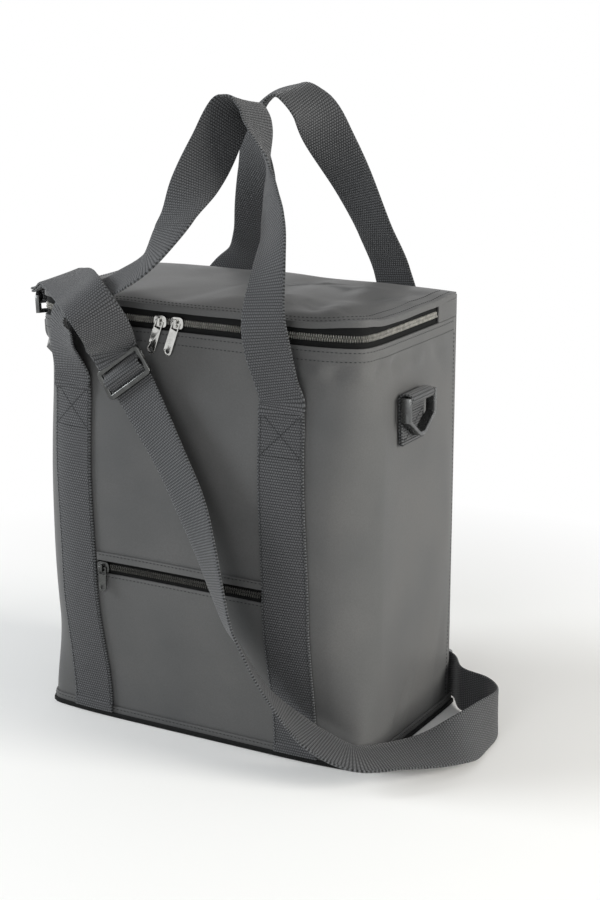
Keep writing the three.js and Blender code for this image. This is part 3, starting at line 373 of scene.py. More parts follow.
def satin_polyester():
    """Coated polyester satin, woven: a soft broad sheen over a very fine thread."""
    material, tree, shader = new_material("coated_polyester_satin", "#5b5c5d", 0.5, **{
        "Specular IOR Level": 0.09, "Sheen Weight": 0.04, "Sheen Roughness": 0.4,
    })
    where = place_of(tree)
    broad = speckle(tree, where, 70, 3)
    fine = speckle(tree, where, 1.1, 2)
    # The thread is about 0.3 mm, too fine to show, so the weave is drawn at 1.1 mm
    apart = add_node(tree, "ShaderNodeSeparateXYZ", {0: where})
    turn = 2 * math.pi / (1.1 * MM)
    rows = maths(tree, "SINE", maths(tree, "MULTIPLY", apart.outputs[2], turn))
    across = maths(tree, "ADD", apart.outputs[0], apart.outputs[1])
    columns = maths(tree, "SINE", maths(tree, "MULTIPLY", across, turn))
    weave = maths(tree, "MULTIPLY", rows, columns)
    colour = mix(tree, graded(tree, broad, 0.3, 0.7, 0, 1), linear("#545556"), linear("#5f5f5f"))
    colour = mix(tree, graded(tree, fine, 0.3, 0.7, 0, 0.35), colour, linear("#4c4c4b"))
    colour = mix(tree, graded(tree, weave, -1, 1, 0, 0.2), colour, linear("#3e3e3d"))
    tree.links.new(colour, shader.inputs["Base Color"])
    tree.links.new(graded(tree, broad, 0.3, 0.7, 0.4, 0.52), shader.inputs["Roughness"])
    raised(tree, shader, maths(tree, "ADD", maths(tree, "MULTIPLY", weave, 0.4), fine), 0.05 * MM)
    return material


def ribbed_webbing(name, dark, light, width=WEBBING_WIDTH):
    """Heavy woven polyester webbing: rows of dotted ribs and a rope-like selvage."""
    material, tree, shader = new_material(name, light, 0.7, **{
        "Specular IOR Level": 0.12, "Sheen Weight": 0.2, "Sheen Roughness": 0.35,
    })
    along = add_node(tree, "ShaderNodeSeparateXYZ", {0: add_node(tree, "ShaderNodeUVMap").outputs[0]})
    u, v = along.outputs[0], along.outputs[1]
    # A row of thread is 2.1 mm along the band, and its threads stand 2 mm apart
    row = maths(tree, "SINE", maths(tree, "MULTIPLY", v, math.pi / (2.1 * MM)))
    thread = maths(tree, "SINE", maths(tree, "MULTIPLY", u, 2 * math.pi / (2.0 * MM)))
    rib = maths(tree, "SUBTRACT", maths(tree, "MULTIPLY", maths(tree, "ABSOLUTE", row), 2.0), 1.0)
    dots = maths(tree, "MULTIPLY", thread, row)
    height = maths(tree, "ADD", maths(tree, "MULTIPLY", rib, 0.46), maths(tree, "MULTIPLY", dots, 0.54))
    edge = maths(tree, "ABSOLUTE", maths(tree, "SUBTRACT", u, width / 2))
    selvage = graded(tree, edge, width / 2 - 1.6 * MM, width / 2 - 1.0 * MM, 0, 1)
    rope = maths(tree, "SINE", maths(tree, "MULTIPLY", v, 2 * math.pi / (2.4 * MM)))
    worn = speckle(tree, add_node(tree, "ShaderNodeTexCoord").outputs["Object"], 9, 3)
    colour = mix(tree, graded(tree, height, -0.6, 0.5, 0, 1), linear(dark), linear(light))
    rope_colour = mix(tree, graded(tree, rope, -1, 1, 0, 1), linear("#161717"), linear("#626466"))
    colour = mix(tree, maths(tree, "MULTIPLY", selvage, 0.8), colour, rope_colour)
    colour = mix(tree, graded(tree, worn, 0.35, 0.65, 0, 0.15), colour, linear("#414243"))
    tree.links.new(colour, shader.inputs["Base Color"])
    raised(tree, shader, maths(tree, "ADD", height, maths(tree, "MULTIPLY", selvage, rope)), 0.3 * MM)
    return material


def knitted_tape():
    """Knitted zip tape in near black: matt, with a fine lengthwise cord."""
    material, tree, shader = new_material("knitted_zip_tape", "#141515", 0.8, **{"Specular IOR Level": 0.1})
    where = place_of(tree)
    apart = add_node(tree, "ShaderNodeSeparateXYZ", {0: where})
    cord = maths(tree, "SINE", maths(tree, "MULTIPLY", apart.outputs[2], 2 * math.pi / (0.9 * MM)))
    fine = speckle(tree, where, 0.8, 2)
    colour = mix(tree, graded(tree, cord, -1, 1, 0, 0.6), linear("#0f1010"), linear("#232424"))
    colour = mix(tree, graded(tree, fine, 0.3, 0.7, 0, 0.4), colour, linear("#0c0c0d"))
    tree.links.new(colour, shader.inputs["Base Color"])
    raised(tree, shader, maths(tree, "ADD", cord, fine), 0.08 * MM)
    return material


def base_cloth():
    """Heavy coated polyester under the bag, matt; its near-black colour is painted shade, standing in for the deep
    shadow along the bag's bottom edge.
    """
    material, tree, shader = new_material("base_cloth_painted_shade", "#0e0f0f", 0.7, **{"Specular IOR Level": 0.12})
    grain = speckle(tree, place_of(tree), 1.4, 2)
    tinted(tree, shader, graded(tree, grain, 0.3, 0.7, 0, 1), "#0a0b0b", "#151616")
    raised(tree, shader, grain, 0.08 * MM)
    return material


def nylon_coil(name, colour):
    """Nylon monofilament, heat-set: smooth and glossy, slightly uneven in tone. The colour given is lighter than the
    dark nylon: a painted highlight on the beads.
    """
    material, tree, shader = new_material(name, colour, 0.3)
    tone = speckle(tree, place_of(tree), 3, 2)
    tinted(tree, shader, graded(tree, tone, 0.3, 0.7, 0, 0.5), colour, "#1d1e1f")
    raised(tree, shader, speckle(tree, place_of(tree), 0.7, 1), 0.02 * MM)
    return material


def peva_lining():
    """Heat-sealed PEVA film: silvery grey, shiny and slightly puckered."""
    material, tree, shader = new_material("peva_lining", "#b6babb", 0.32)
    where = place_of(tree)
    pucker = speckle(tree, where, 16, 2)
    tinted(tree, shader, graded(tree, pucker, 0.3, 0.7, 0, 1), "#b0b3b5", "#b9bcbd")
    tree.links.new(graded(tree, speckle(tree, where, 3, 2), 0.3, 0.7, 0.26, 0.42), shader.inputs["Roughness"])
    raised(tree, shader, pucker, 0.3 * MM)
    return material


def foam_sheet():
    """Expanded polyethylene foam: white, matt, with closed cells about 1 mm wide."""
    material, tree, shader = new_material("closed_cell_foam", "#e4e3dd", 0.85)
    where = place_of(tree)
    cells = add_node(tree, "ShaderNodeTexVoronoi", {"Vector": where, "Scale": 1 / (1.2 * MM)}).outputs[0]
    tinted(tree, shader, graded(tree, cells, 0, 0.7, 0.3, 0), "#e4e3dd", "#c9c8c1")
    raised(tree, shader, cells, 0.15 * MM)
    return material


def pressed_board():
    """Polypropylene sheet, extruded: dark, smooth, with fine draw lines."""
    material, tree, shader = new_material("extruded_board", "#3a3b3c", 0.55)
    where = place_of(tree)
    lines = add_node(tree, "ShaderNodeMapping", {0: where, 3: (1, 0.02, 1)})
    grain = speckle(tree, lines.outputs[0], 1.5, 2)
    tinted(tree, shader, graded(tree, grain, 0.3, 0.7, 0, 0.5), "#3a3b3c", "#2e2f30")
    raised(tree, shader, grain, 0.05 * MM)
    return material


def plated_zinc(name, colour, shade, roughness):
    """Die-cast zinc, plated: bright with soft grain, duller where fingers rub it."""
    material, tree, shader = new_material(name, colour, roughness, Metallic=1.0)
    where = place_of(tree)
    rubbed = speckle(tree, where, 5, 3)
    fine = speckle(tree, where, 0.6, 2)
    tinted(tree, shader, graded(tree, rubbed, 0.35, 0.7, 0, 0.6), colour, shade)
    dulled = graded(tree, rubbed, 0.3, 0.7, roughness - 0.06, roughness + 0.1)
    tree.links.new(dulled, shader.inputs["Roughness"])
    raised(tree, shader, fine, 0.02 * MM)
    return material


def spun_thread():
    """Twisted polyester sewing thread, a little lighter than the fabric."""
    material, tree, shader = new_material("spun_thread", "#232425", 0.6, **{"Specular IOR Level": 0.2})
    twist = speckle(tree, place_of(tree), 0.5, 1)
    tinted(tree, shader, graded(tree, twist, 0.3, 0.7, 0, 0.6), "#2c2e2f", "#18191a")
    raised(tree, shader, twist, 0.05 * MM)
    return material


SATIN = satin_polyester()
WEB = ribbed_webbing("ribbed_polyester_webbing", "#0c0d0d", "#5a5b5d")
BINDING = ribbed_webbing("woven_edge_binding", "#303233", "#5e6163")
TAPE = knitted_tape()
BASE_SHADE_CLOTH = base_cloth()
# Both coils are dark nylon; their grey colours are painted highlight, lighter than the nylon so that the beads read
# bright
PAINTED_HIGHLIGHT_COIL = nylon_coil("nylon_zip_coil", "#a09f99")
PAINTED_HIGHLIGHT_POCKET_COIL = nylon_coil("black_nylon_zip_coil", "#5c5c58")
LINING = peva_lining()
FOAM = foam_sheet()
BOARD = pressed_board()
NICKEL = plated_zinc("nickel_plated_zinc", "#cfcfcc", "#a9a9a6", 0.2)
GUNMETAL = plated_zinc("black_nickel_plated_zinc", "#6a6b6b", "#4a4b4b", 0.26)
DARK_METAL = plated_zinc("black_oxide_zinc", "#5a5b5a", "#3c3d3d", 0.25)
THREAD = spun_thread()


# How the filled bag swells, as in its CAD but smooth between the samples
def clamp(value, low=-1.0, high=1.0):
    return max(low, min(high, value))


def ease(share):
    return (1 - math.cos(math.pi * clamp(share, 0, 1))) / 2


def swell_at(z, base, end):
    t = clamp(z / RIM, 0, 1)
    if t < 0.4:
        return base + (1 - base) * ease(t / 0.4)
    return 1.0 if t < 0.62 else 1 - (1 - end) * ease((t - 0.62) / 0.38)


def flat_middle(share):
    return 1 - min(1, abs(share)) ** 6


def corner_out(x, y, z):
    u = (abs(x) - (HALF_WIDTH - CORNER)) / CORNER
    v = (CORNER - HALF_DEPTH - y) / CORNER
    if u <= 0 or v <= 0:
        return 0, 0
    push = 1.1 * (1 + math.cos(math.pi * min(1, z / 0.08))) / 2 + 0.75 * ease((z - 0.285) / 0.04)
    square = math.hypot(u, v) / (u ** 6 + v ** 6) ** (1 / 6)
    reach = push * CORNER * (square - 1) * min(1.0, u * u + v * v)
    return math.copysign(u * reach, x), -v * reach


# Long soft creases in the fabric: the face, their two ends there, half width and depth in mm
CREASES = [
    ("right", (-0.002, 0.056), (-0.030, 0.016), 5, -1.8),
    ("right", (0.006, 0.062), (-0.020, 0.012), 6, 1.4),
    ("right", (0.052, 0.090), (0.046, 0.012), 6, -1.0),
    ("right", (0.020, 0.320), (0.052, 0.290), 5, -0.8),
    ("right", (-0.040, 0.318), (-0.046, 0.296), 4, 0.7),
    ("right", (-0.060, 0.320), (-0.058, 0.290), 4, -0.8),
    ("front", (0.118, 0.318), (0.126, 0.285), 4, -0.8),
    ("front", (0.108, 0.316), (0.104, 0.290), 4, 0.5),
    ("front", (-0.124, 0.300), (-0.120, 0.120), 7, -0.6),
    ("front", (-0.030, 0.260), (0.030, 0.160), 16, 0.6),
    ("left", (0.030, 0.300), (0.050, 0.180), 8, -1.0),
    ("left", (-0.040, 0.120), (0.030, 0.040), 9, 0.9),
    ("back", (-0.060, 0.300), (0.040, 0.240), 12, -1.2),
    ("back", (0.030, 0.120), (-0.070, 0.060), 12, 1.0),
]


def crease_at(face, a, z):
    total = 0.0
    for where, start, end, width, depth in CREASES:
        if where == face:
            line = Vector(end) - Vector(start)
            off = Vector((a, z)) - Vector(start)
            t = clamp(off.dot(line) / line.length_squared, 0, 1)
            away = (off - line * t).length / (width * MM)
            total += depth * MM * math.exp(-away * away) * math.sin(math.pi * (0.15 + 0.7 * t))
    return total


def outward(x, y):
    """The direction out of the wall over a place of the plan, none inside it."""
    reach, corner_y = HALF_WIDTH - CORNER, CORNER - HALF_DEPTH
    if y >= HALF_DEPTH - 1e-6:
        return Vector((0, 1)) * ease((HALF_WIDTH - abs(x)) / 0.02)
    if abs(x) >= HALF_WIDTH - 1e-6:
        return Vector((math.copysign(1, x), 0)) * ease((HALF_DEPTH - y) / 0.02)
    if y <= -HALF_DEPTH + 1e-6:
        return Vector((0, -1))
    out = Vector((x - math.copysign(reach, x), y - corner_y))
    return out / CORNER if abs(x) > reach and y < corner_y and out.length > CORNER - 1e-5 else Vector((0, 0))


def ripple(x, y, z):
    """How far the fabric stands out or sinks in at a place, none at its sewn edges."""
    held = ease(z / 0.05) * ease((RIM - 0.004 - z) / 0.03)
    slow = noise.noise(Vector((x * 13, y * 13 + 3, z * 9)))
    quick = noise.noise(Vector((x * 34 + 5, y * 34, z * 22)))
    near = math.exp(-((x - 0.125) ** 2 + (y + 0.055) ** 2) / 0.05 ** 2)
    under_hem = math.exp(-(((z - 0.3095) / 0.0065) ** 2))
    pucker = noise.noise(Vector((x * 68, y * 68 + 11, z * 45)))
    return held * (1.9 * slow + 0.5 * quick) * MM + (0.9 + 7.5 * near) * under_hem * pucker * MM


def swell(x, y, z, over_x=None, over_y=None):
    """Moves a point of the plain box to where it lies on the filled bag."""
    over_x, over_y = x if over_x is None else over_x, y if over_y is None else over_y
    sideways = clamp(over_x / (HALF_WIDTH - 0.014))
    along = clamp(over_y / (HALF_DEPTH - 0.014))
    opened = swell_at(z, 0.25, 0.5)
    hinged = swell_at(z, 0, 0)
    push = (0.024 * opened if over_y < 0 else 0.008 * hinged) * flat_middle(over_x / HALF_WIDTH)
    out_x, out_y = corner_out(over_x, over_y, z)
    out = outward(over_x, over_y)
    bend = 0.0
    if out.length_squared > 0 and z < RIM:
        end = crease_at("right" if over_x > 0 else "left", over_y, z)
        face = crease_at("front" if over_y < 0 else "back", over_x, z)
        bend = ripple(over_x, over_y, z) + abs(out.x) * end + abs(out.y) * face
        bend *= ease(z / 0.02) * ease((RIM - z) / 0.012)
    return Vector((
        x + 0.004 * opened * flat_middle(over_y / HALF_DEPTH) * sideways + out_x + out.x * bend,
        y + push * along + out_y + out.y * bend,
        z,
    ))


def steps(start, end, count):
    return [start + (end - start) * i / count for i in range(count + 1)]


def open_plan(inset, rear, over_end=None):
    """The plan from its left rear end round the front: (x, y, over x, over y)."""
    over_end = SIDE_END if over_end is None else over_end
    reach, corner_y = HALF_WIDTH - CORNER, CORNER - HALF_DEPTH
    right = []
    for angle in steps(0, math.pi / 2, 12):
        s, c = math.sin(angle), math.cos(angle)
        right.append((
            reach + (CORNER - inset) * s, corner_y - (CORNER - inset) * c,
            reach + CORNER * s, corner_y - CORNER * c,
        ))
    for y, over in list(zip(steps(corner_y, rear, 24), steps(corner_y, over_end, 24)))[1:]:
        right.append((HALF_WIDTH - inset, y, HALF_WIDTH, over))
    left = [(-x, y, -ox, oy) for x, y, ox, oy in reversed(right)]
    front = [(x, inset - HALF_DEPTH, x, -HALF_DEPTH) for x in steps(-reach, reach, 48)[1:-1]]
    return left + front + right


def closed_plan(inset, rear):
    back = [(t * (HALF_WIDTH - inset), rear, t * HALF_WIDTH, HALF_DEPTH) for t in steps(1, -1, 36)[1:-1]]
    return open_plan(inset, rear) + back


# Panels: a grid laid on the bag row by row, then given its thickness
def panel(name, columns, rows, place, thickness, closed=False, hole=None, uv=None, inward=True, edge=0.3):
    """A sewn panel. place(column, row) gives a point; its two faces are thickness apart."""
    deselect()
    nx, ny = len(columns) - (0 if closed else 1), len(rows) - 1
    bpy.ops.mesh.primitive_grid_add(x_subdivisions=nx, y_subdivisions=ny, size=1)
    piece = bpy.context.object
    piece.name = piece.data.name = name
    mesh = piece.data
    grid = [(round((v.co.x + 0.5) * nx), round((v.co.y + 0.5) * ny)) for v in mesh.vertices]
    for vertex, (i, j) in zip(mesh.vertices, grid):
        vertex.co = place(columns[i % len(columns)], rows[j])
    layer = mesh.uv_layers[0].data
    for loop in mesh.loops:
        i, j = grid[loop.vertex_index]
        layer[loop.index].uv = uv(i, j) if uv else (i * 2 * MM, j * 2 * MM)
    if hole:
        cut_out(piece, hole)
    if closed:
        edit(piece, lambda: bpy.ops.mesh.remove_doubles(threshold=1e-6))
    mesh = piece.data
    middle = sum((v.co for v in mesh.vertices), Vector()) / len(mesh.vertices)
    facing = sum(f.normal.dot(f.center - Vector((0, 0, f.center.z))) * f.area for f in mesh.polygons)
    if abs(middle.z - 0.35) < 0.02 and not closed:
        facing = sum(f.normal.z * f.area for f in mesh.polygons)
    if facing < 0:
        mesh.flip_normals()
    work = [("SOLIDIFY", {"thickness": thickness, "offset": -1 if inward else 1, "use_even_offset": True})]
    if edge:
        work.append(("BEVEL", {
            "width": min(edge * MM, thickness * 0.4), "segments": 2, "limit_method": "ANGLE",
            "angle_limit": math.radians(60), "use_clamp_overlap": True,
        }))
    finished(piece, *work)
    smooth(piece)
    return piece


def plan_panel(name, plan, heights, thickness, closed=False, **more):
    return panel(
        name, plan, heights, lambda p, z: swell(p[0], p[1], z, p[2], p[3]), thickness, closed, **more,
    )


def face_point(side, x, z, off, reach=HALF_WIDTH):
    """A place on the front (-1) or back (1) face, at a distance off the wall."""
    return swell(x, side * (HALF_DEPTH + off), z, x * HALF_WIDTH / reach, side * HALF_DEPTH)


WALL_HEIGHTS = (
    steps(0.0019, 0.0095, 3) + steps(0.0095, SLOT_LOW, 30)[1:] + steps(SLOT_LOW, SLOT_HIGH, 4)[1:]
    + steps(SLOT_HIGH, 0.300, 38)[1:] + steps(0.300, RIM, 12)[1:]
)


def in_slot(x, y, z):
    return y < -0.06 and POCKET_LEFT < x < POCKET_RIGHT and SLOT_LOW < z < SLOT_HIGH


def with_slot_ends(plan):
    """The plan with columns at the two ends of the pocket's slot."""
    made = []
    for here, after in zip(plan, plan[1:] + plan[-1:]):
        made.append(here)
        for end in (POCKET_LEFT, POCKET_RIGHT):
            if here[1] < -0.0769 and here[0] < end - 1e-5 < after[0] and after[1] < -0.0769:
                made.append((end, here[1], end, here[3]))
    return made


# Fabric panels of the body
wrap = plan_panel(
    "body_wrap", with_slot_ends(open_plan(0, SIDE_END)), WALL_HEIGHTS, FABRIC, hole=in_slot,
)
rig.padded(dressed(wrap, "bag", "body_fabric", SATIN, "wrap_panel"), fill=0.9)

BACK_X = 0.1413
rear = panel(
    "rear_panel", steps(-1, 1, 60), steps(0.0019, REAR_TOP, 80),
    lambda s, z: face_point(1, s * BACK_X, z, 0, BACK_X), FABRIC,
)
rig.padded(dressed(rear, "bag", "body_fabric", SATIN, "back_panel"), fill=0.9)


def floor_shares(plan, height_at):
    """Rows of a plate: the plan shrunk towards its middle, each row with its height."""
    middle = (max(p[1] for p in plan) + min(p[1] for p in plan)) / 2

    def place(p, share):
        x, y = p[0] * share, middle + (p[1] - middle) * share
        return swell(x, y, height_at(x, y, share), p[2] * share, p[3] * share)

    return place


def plate(name, plan, height_at, thickness, inward=True, edge=0.3):
    shares = [1, 0.99, 0.975, 0.955, 0.9, 0.8, 0.66, 0.5, 0.32, 0.15, 0]
    return panel(
        name, plan, shares, floor_shares(plan, height_at), thickness, closed=True, inward=inward, edge=edge,
    )


def turned(piece):
    """Makes all faces of a plate look out of it."""
    edit(piece, lambda: bpy.ops.mesh.normals_make_consistent(inside=False))
    return piece


# The base's near-black cloth, whose edge curls up into sight, is painted shade under the bag's bottom edge
base = turned(plate(
    "base_panel_fabric", closed_plan(0.0004, HALF_DEPTH - 0.0004),
    lambda x, y, s: 0.0002 + 0.0026 * ease((s - 0.955) / 0.045), FABRIC, inward=False,
))
dressed(base, "bag", "body_fabric", BASE_SHADE_CLOTH, "base_panel")

hem_plan = closed_plan(-0.0003, HALF_DEPTH + 0.0003)
hem = plan_panel(
    "base_hem_fold", hem_plan, [0.0024, 0.0028, 0.004, 0.0060, 0.0080, 0.0089, 0.0095], 0.0012,
    closed=True, inward=False,
)
dressed(hem, "bag", "body_fabric", SATIN, "base_hem")
# A near-black cord round the foot of the bag: painted shadow, a dark piece put where the bag's bottom edge throws its
# deep shadow
shadow_cord = plan_panel(
    "base_shadow_cord", closed_plan(-0.0017, HALF_DEPTH + 0.0017), [0.0004, 0.0014, 0.0028, 0.0042],
    0.0012, closed=True, inward=False, edge=0.5,
)
dressed(shadow_cord, "bag", "body_fabric", BASE_SHADE_CLOTH)


def piping(name, start, end, node):
    """A corded edge: a cylinder cut along its length and drawn slightly uneven."""
    deselect()
    line = end - start
    bpy.ops.mesh.primitive_cylinder_add(vertices=16, radius=PIPING, depth=line.length, end_fill_type="TRIFAN")
    piece = bpy.context.object
    piece.name = piece.data.name = name
    edit(piece, lambda: bpy.ops.mesh.bisect(plane_co=(0, 0, 0), plane_no=(0, 0, 1)))
    for share in steps(-0.48, 0.48, 48):
        cut_at = share * line.length
        edit(piece, lambda: bpy.ops.mesh.bisect(plane_co=(0, 0, cut_at), plane_no=(0, 0, 1)))
    turn = line.to_track_quat("Z", "Y").to_matrix().to_4x4()
    middle = (start + end) / 2
    for vertex in piece.data.vertices:
        flat = Vector((vertex.co.x, vertex.co.y, 0))
        uneven = 1 - 0.06 * (0.5 + 0.5 * noise.noise(Vector((vertex.co.z * 60, 3, 1))))
        pinch = 1 - 0.05 * max(0, math.sin(vertex.co.z / (3.4 * MM) * math.pi)) ** 4
        vertex.co = flat * uneven * pinch + Vector((0, 0, vertex.co.z))
    piece.data.transform(Matrix.Translation(middle) @ turn)
    smooth(piece, 50)
    return dressed(piece, "bag", "body_fabric", SATIN, node)


for end, side in (("left", -1), ("right", 1)):
    piping(
        f"rear_cord_{end}", Vector((side * PIPING_X, PIPING_Y, 0.0019)),
        Vector((side * PIPING_X, PIPING_Y, HINGE_HEIGHT)), f"rear_piping_{end}",
    )
    run = steps(ZIP_REAR + 0.0003, SIDE_END, 14)
    end_piece = panel(
        f"zip_end_tab_{end}", run, steps(RIM + 0.0003, SKIRT_BOTTOM - 0.0003, 8),
        lambda y, z: swell(side * HALF_WIDTH, y, z), FABRIC,
    )
    dressed(end_piece, "bag", "body_fabric", SATIN, f"zip_end_{end}")
piping(
    "hinge_cord", Vector((-0.1413, PIPING_Y, HINGE_HEIGHT)),
    Vector((0.1413, PIPING_Y, HINGE_HEIGHT)), "lid_hinge_piping",
)

# Foam, lining and the binding of the inner edge
foam = plan_panel(
    "foam_walls", open_plan(FOAM_INSET, SIDE_END), steps(0.0019, FOAM_TOP, 36), FOAM_WALL,
    hole=lambda x, y, z: y < -0.06 and -0.094 < x < 0.084 and 0.04 < z < 0.149,
)
dressed(foam, "bag", "foam", FOAM, "foam_wrap")
FOAM_X = 0.1365
foam_rear = panel(
    "foam_rear", steps(-1, 1, 24), steps(0.0019, FOAM_TOP, 30),
    lambda s, z: face_point(1, s * FOAM_X, z, -FOAM_INSET, FOAM_X), FOAM_WALL,
)
dressed(foam_rear, "bag", "foam", FOAM, "foam_back")
INNER_REAR = HALF_DEPTH - LINER_INSET
foam_floor = turned(plate("foam_floor", closed_plan(LINER_INSET, INNER_REAR), lambda x, y, s: 0.0069, 0.005))
dressed(foam_floor, "bag", "foam", FOAM, "foam_base")


def lining_rows():
    rows = [("wall", z) for z in steps(RIM, 0.012, 40)]
    return rows + [("floor", s) for s in (0.985, 0.95, 0.88, 0.76, 0.6, 0.42, 0.2, 0)]


def lining_place(p, row):
    kind, value = row
    if kind == "wall":
        point = swell(p[0], p[1], value, p[2], p[3])
        held = ease((RIM - value) / 0.05) * ease(value / 0.03)
        loose = noise.noise(Vector((p[0] * 26, p[1] * 26, value * 18 + 7)))
        inner = Vector((-p[0], -p[1], 0)).normalized()
        return point + inner * (0.4 + 1.0 * max(0, loose)) * MM * held
    x, y = p[0] * value, p[1] * value
    return swell(x, y, 0.0105, p[2] * value, p[3] * value)


liner = panel(
    "sealed_lining", closed_plan(LINER_INSET + 0.0003, INNER_REAR - 0.0003), lining_rows(),
    lining_place, 0.0008, closed=True, edge=0,
)
dressed(liner, "bag", "lining", LINING, "liner")
binding = plan_panel(
    "rim_binding_tape", closed_plan(0.0034, SIDE_END - 0.0004), steps(0.319, RIM, 5), 0.0052,
    closed=True, edge=1.2,
)
dressed(binding, "bag", "webbing", BINDING, "rim_binding")

# The pocket: the welt over its slot, the zip in it and the pouch behind it
POCKET_XS = steps(POCKET_LEFT, POCKET_RIGHT, 50)


def on_front(off):
    return lambda x, z: face_point(-1, x, z, off)


welt = panel("pocket_welt_fold", POCKET_XS, steps(0.1407, 0.1475, 6), on_front(0.0017), 0.0014, edge=0.6)
dressed(welt, "bag", "body_fabric", SATIN, "pocket_welt")
pocket_tape = panel("pocket_tape", POCKET_XS, steps(0.1235, 0.1442, 10), on_front(-0.0019), 0.001)
dressed(pocket_tape, "bag", "zip_tape", TAPE, "pocket_zip_tape")
pouch = panel(
    "pocket_bag", steps(-0.092, 0.082, 20), steps(0.0400, 0.1475, 16), on_front(-0.0032), 0.0018,
)
dressed(pouch, "bag", "lining", LINING, "pocket_pouch")


# Zip teeth and stitches are shaped once and copied along their rows
def shaped(width, depth, height, segments, rings):
    """The points and faces of one small rounded piece, from a sphere."""
    deselect()
    bpy.ops.mesh.primitive_uv_sphere_add(segments=segments, ring_count=rings, radius=0.5)
    made = bpy.context.object
    points = [Vector((v.co.x * width, v.co.y * depth, v.co.z * height)) for v in made.data.vertices]
    faces = [tuple(f.vertices) for f in made.data.polygons]
    bpy.data.objects.remove(made)
    return points, faces


def copied(name, shape, places):
    """One mesh of many copies: each place is its point and the shape's three directions."""
    points, faces = [], []
    for at, x, y, z in places:
        first = len(points)
        points += [at + x * p.x + y * p.y + z * p.z for p in shape[0]]
        faces += [tuple(i + first for i in f) for f in shape[1]]
    mesh = bpy.data.meshes.new(name)
    mesh.from_pydata([tuple(p) for p in points], [], faces)
    mesh.polygons.foreach_set("use_smooth", [True] * len(faces))
    piece = bpy.data.objects.new(name, mesh)
    bpy.context.scene.collection.objects.link(piece)
    return piece


def spaced(line, pitch, start=0.0):
    """Places a pitch apart on a line of (point, normal): point, direction, normal."""
    made, run = [], -start
    for (a, na), (b, nb) in zip(line, line[1:]):
        long = (b - a).length
        if long < 1e-9:
            continue
        direction = (b - a) / long
        at = pitch * math.ceil(run / pitch - 1e-9)
        while at <= run + long:
            share = (at - run) / long
            normal = na.lerp(nb, share)
            normal = (normal - direction * normal.dot(direction)).normalized()
            made.append((a.lerp(b, share), direction, normal))
            at += pitch
        run += long
    return made


def plan_line(inset, z, rear):
    """A line round the open plan at a height, with its outward directions."""
    line = []
    plan = open_plan(inset, rear, rear if rear < SIDE_END else None)
    for x, y, ox, oy in plan:
        point = swell(x, y, z, ox, oy)
        if abs(ox) >= HALF_WIDTH - 1e-6:
            out = Vector((math.copysign(1, ox), 0, 0))
        elif oy <= -HALF_DEPTH + 1e-6:
            out = Vector((0, -1, 0))
        else:
            reach = HALF_WIDTH - CORNER
            out = Vector((ox - math.copysign(reach, ox), oy - (CORNER - HALF_DEPTH), 0)).normalized()
        line.append((point, out))
    return line


def zip_teeth(name, line, low, node, body, shift, material, pitch=1.9):
    """A row of coil turns standing on a zip's edge, over a thin dark core."""
    shape = shaped(0.66 * MM, 2.4 * MM, 2.9 * MM, 8, 6)
    up = Vector((0, 0, 1))
    places = []
    for point, direction, out in spaced(line, pitch * MM, shift * pitch * MM):
        places.append((point - out * 1.0 * MM + up * low, direction, out, up))
    piece = copied(name, shape, places)
    cord_shape = shaped(2.2 * MM, 1.5 * MM, 1.1 * MM, 6, 4)
    side = 1 if low > 0 else -1
    cord_places = [
        (p - out * 1.6 * MM + up * (low + side * 0.9 * MM), d, out, up)
        for p, d, out in spaced(line, 1.1 * MM)
    ]
    dressed(copied(f"{name}_core", cord_shape, cord_places), body, "zip_tape", TAPE)
    return dressed(piece, body, "zip_coil", material, node)


middle_z = COILS_BOTTOM + 0.00235
zip_line = plan_line(0.0009, middle_z, ZIP_REAR)
zip_teeth("body_coil", zip_line, -1.25 * MM, "body_zip_coil", "bag", 0.0, PAINTED_HIGHLIGHT_COIL)
zip_teeth("lid_coil", zip_line, 1.25 * MM, "lid_zip_coil", "lid", 0.5, PAINTED_HIGHLIGHT_COIL)

pocket_line = [(face_point(-1, x, 0.1355, 0.0), Vector((0, -1, 0))) for x in steps(-0.0788, 0.0688, 60)]
zip_teeth("pocket_coil_low", pocket_line, -1.25 * MM, "pocket_zip_coil", "bag", 0.0, PAINTED_HIGHLIGHT_POCKET_COIL)
zip_teeth("pocket_coil_high", pocket_line, 1.25 * MM, "pocket_zip_coil", "bag", 0.5, PAINTED_HIGHLIGHT_POCKET_COIL)

TAPE_PLAN = open_plan(0.0019, ZIP_REAR, ZIP_REAR)
body_tape = plan_panel("body_tape", TAPE_PLAN, steps(RIM - 0.008, RIM + 0.0043, 8), 0.001)
dressed(body_tape, "bag", "zip_tape", TAPE, "body_zip_tape")
lid_tape = plan_panel("lid_tape", TAPE_PLAN, steps(COILS_TOP + 0.0003, 0.3453, 5), 0.001)
dressed(lid_tape, "lid", "zip_tape", TAPE, "lid_zip_tape")


# The lid: a crowned cover with a turned-down edge, its foam and its lining
LID_FOLDS = [
    ((0.112, -0.062), (0.092, 0.030), 7, 2.6), ((0.090, -0.052), (0.074, 0.020), 6, -2.2),
    ((0.118, -0.050), (0.132, 0.010), 4, 1.8), ((0.100, -0.020), (0.124, 0.040), 6, -2.0),
    ((0.060, -0.050), (0.052, 0.030), 8, 2.0), ((0.030, -0.030), (0.036, 0.060), 9, -1.6),
    ((0.020, -0.050), (0.075, -0.030), 8, 0.8), ((-0.060, -0.060), (-0.020, 0.060), 12, 1.1),
    ((-0.100, -0.050), (-0.085, 0.050), 11, -1.0), ((-0.020, -0.062), (-0.005, 0.000), 9, -0.8),
]


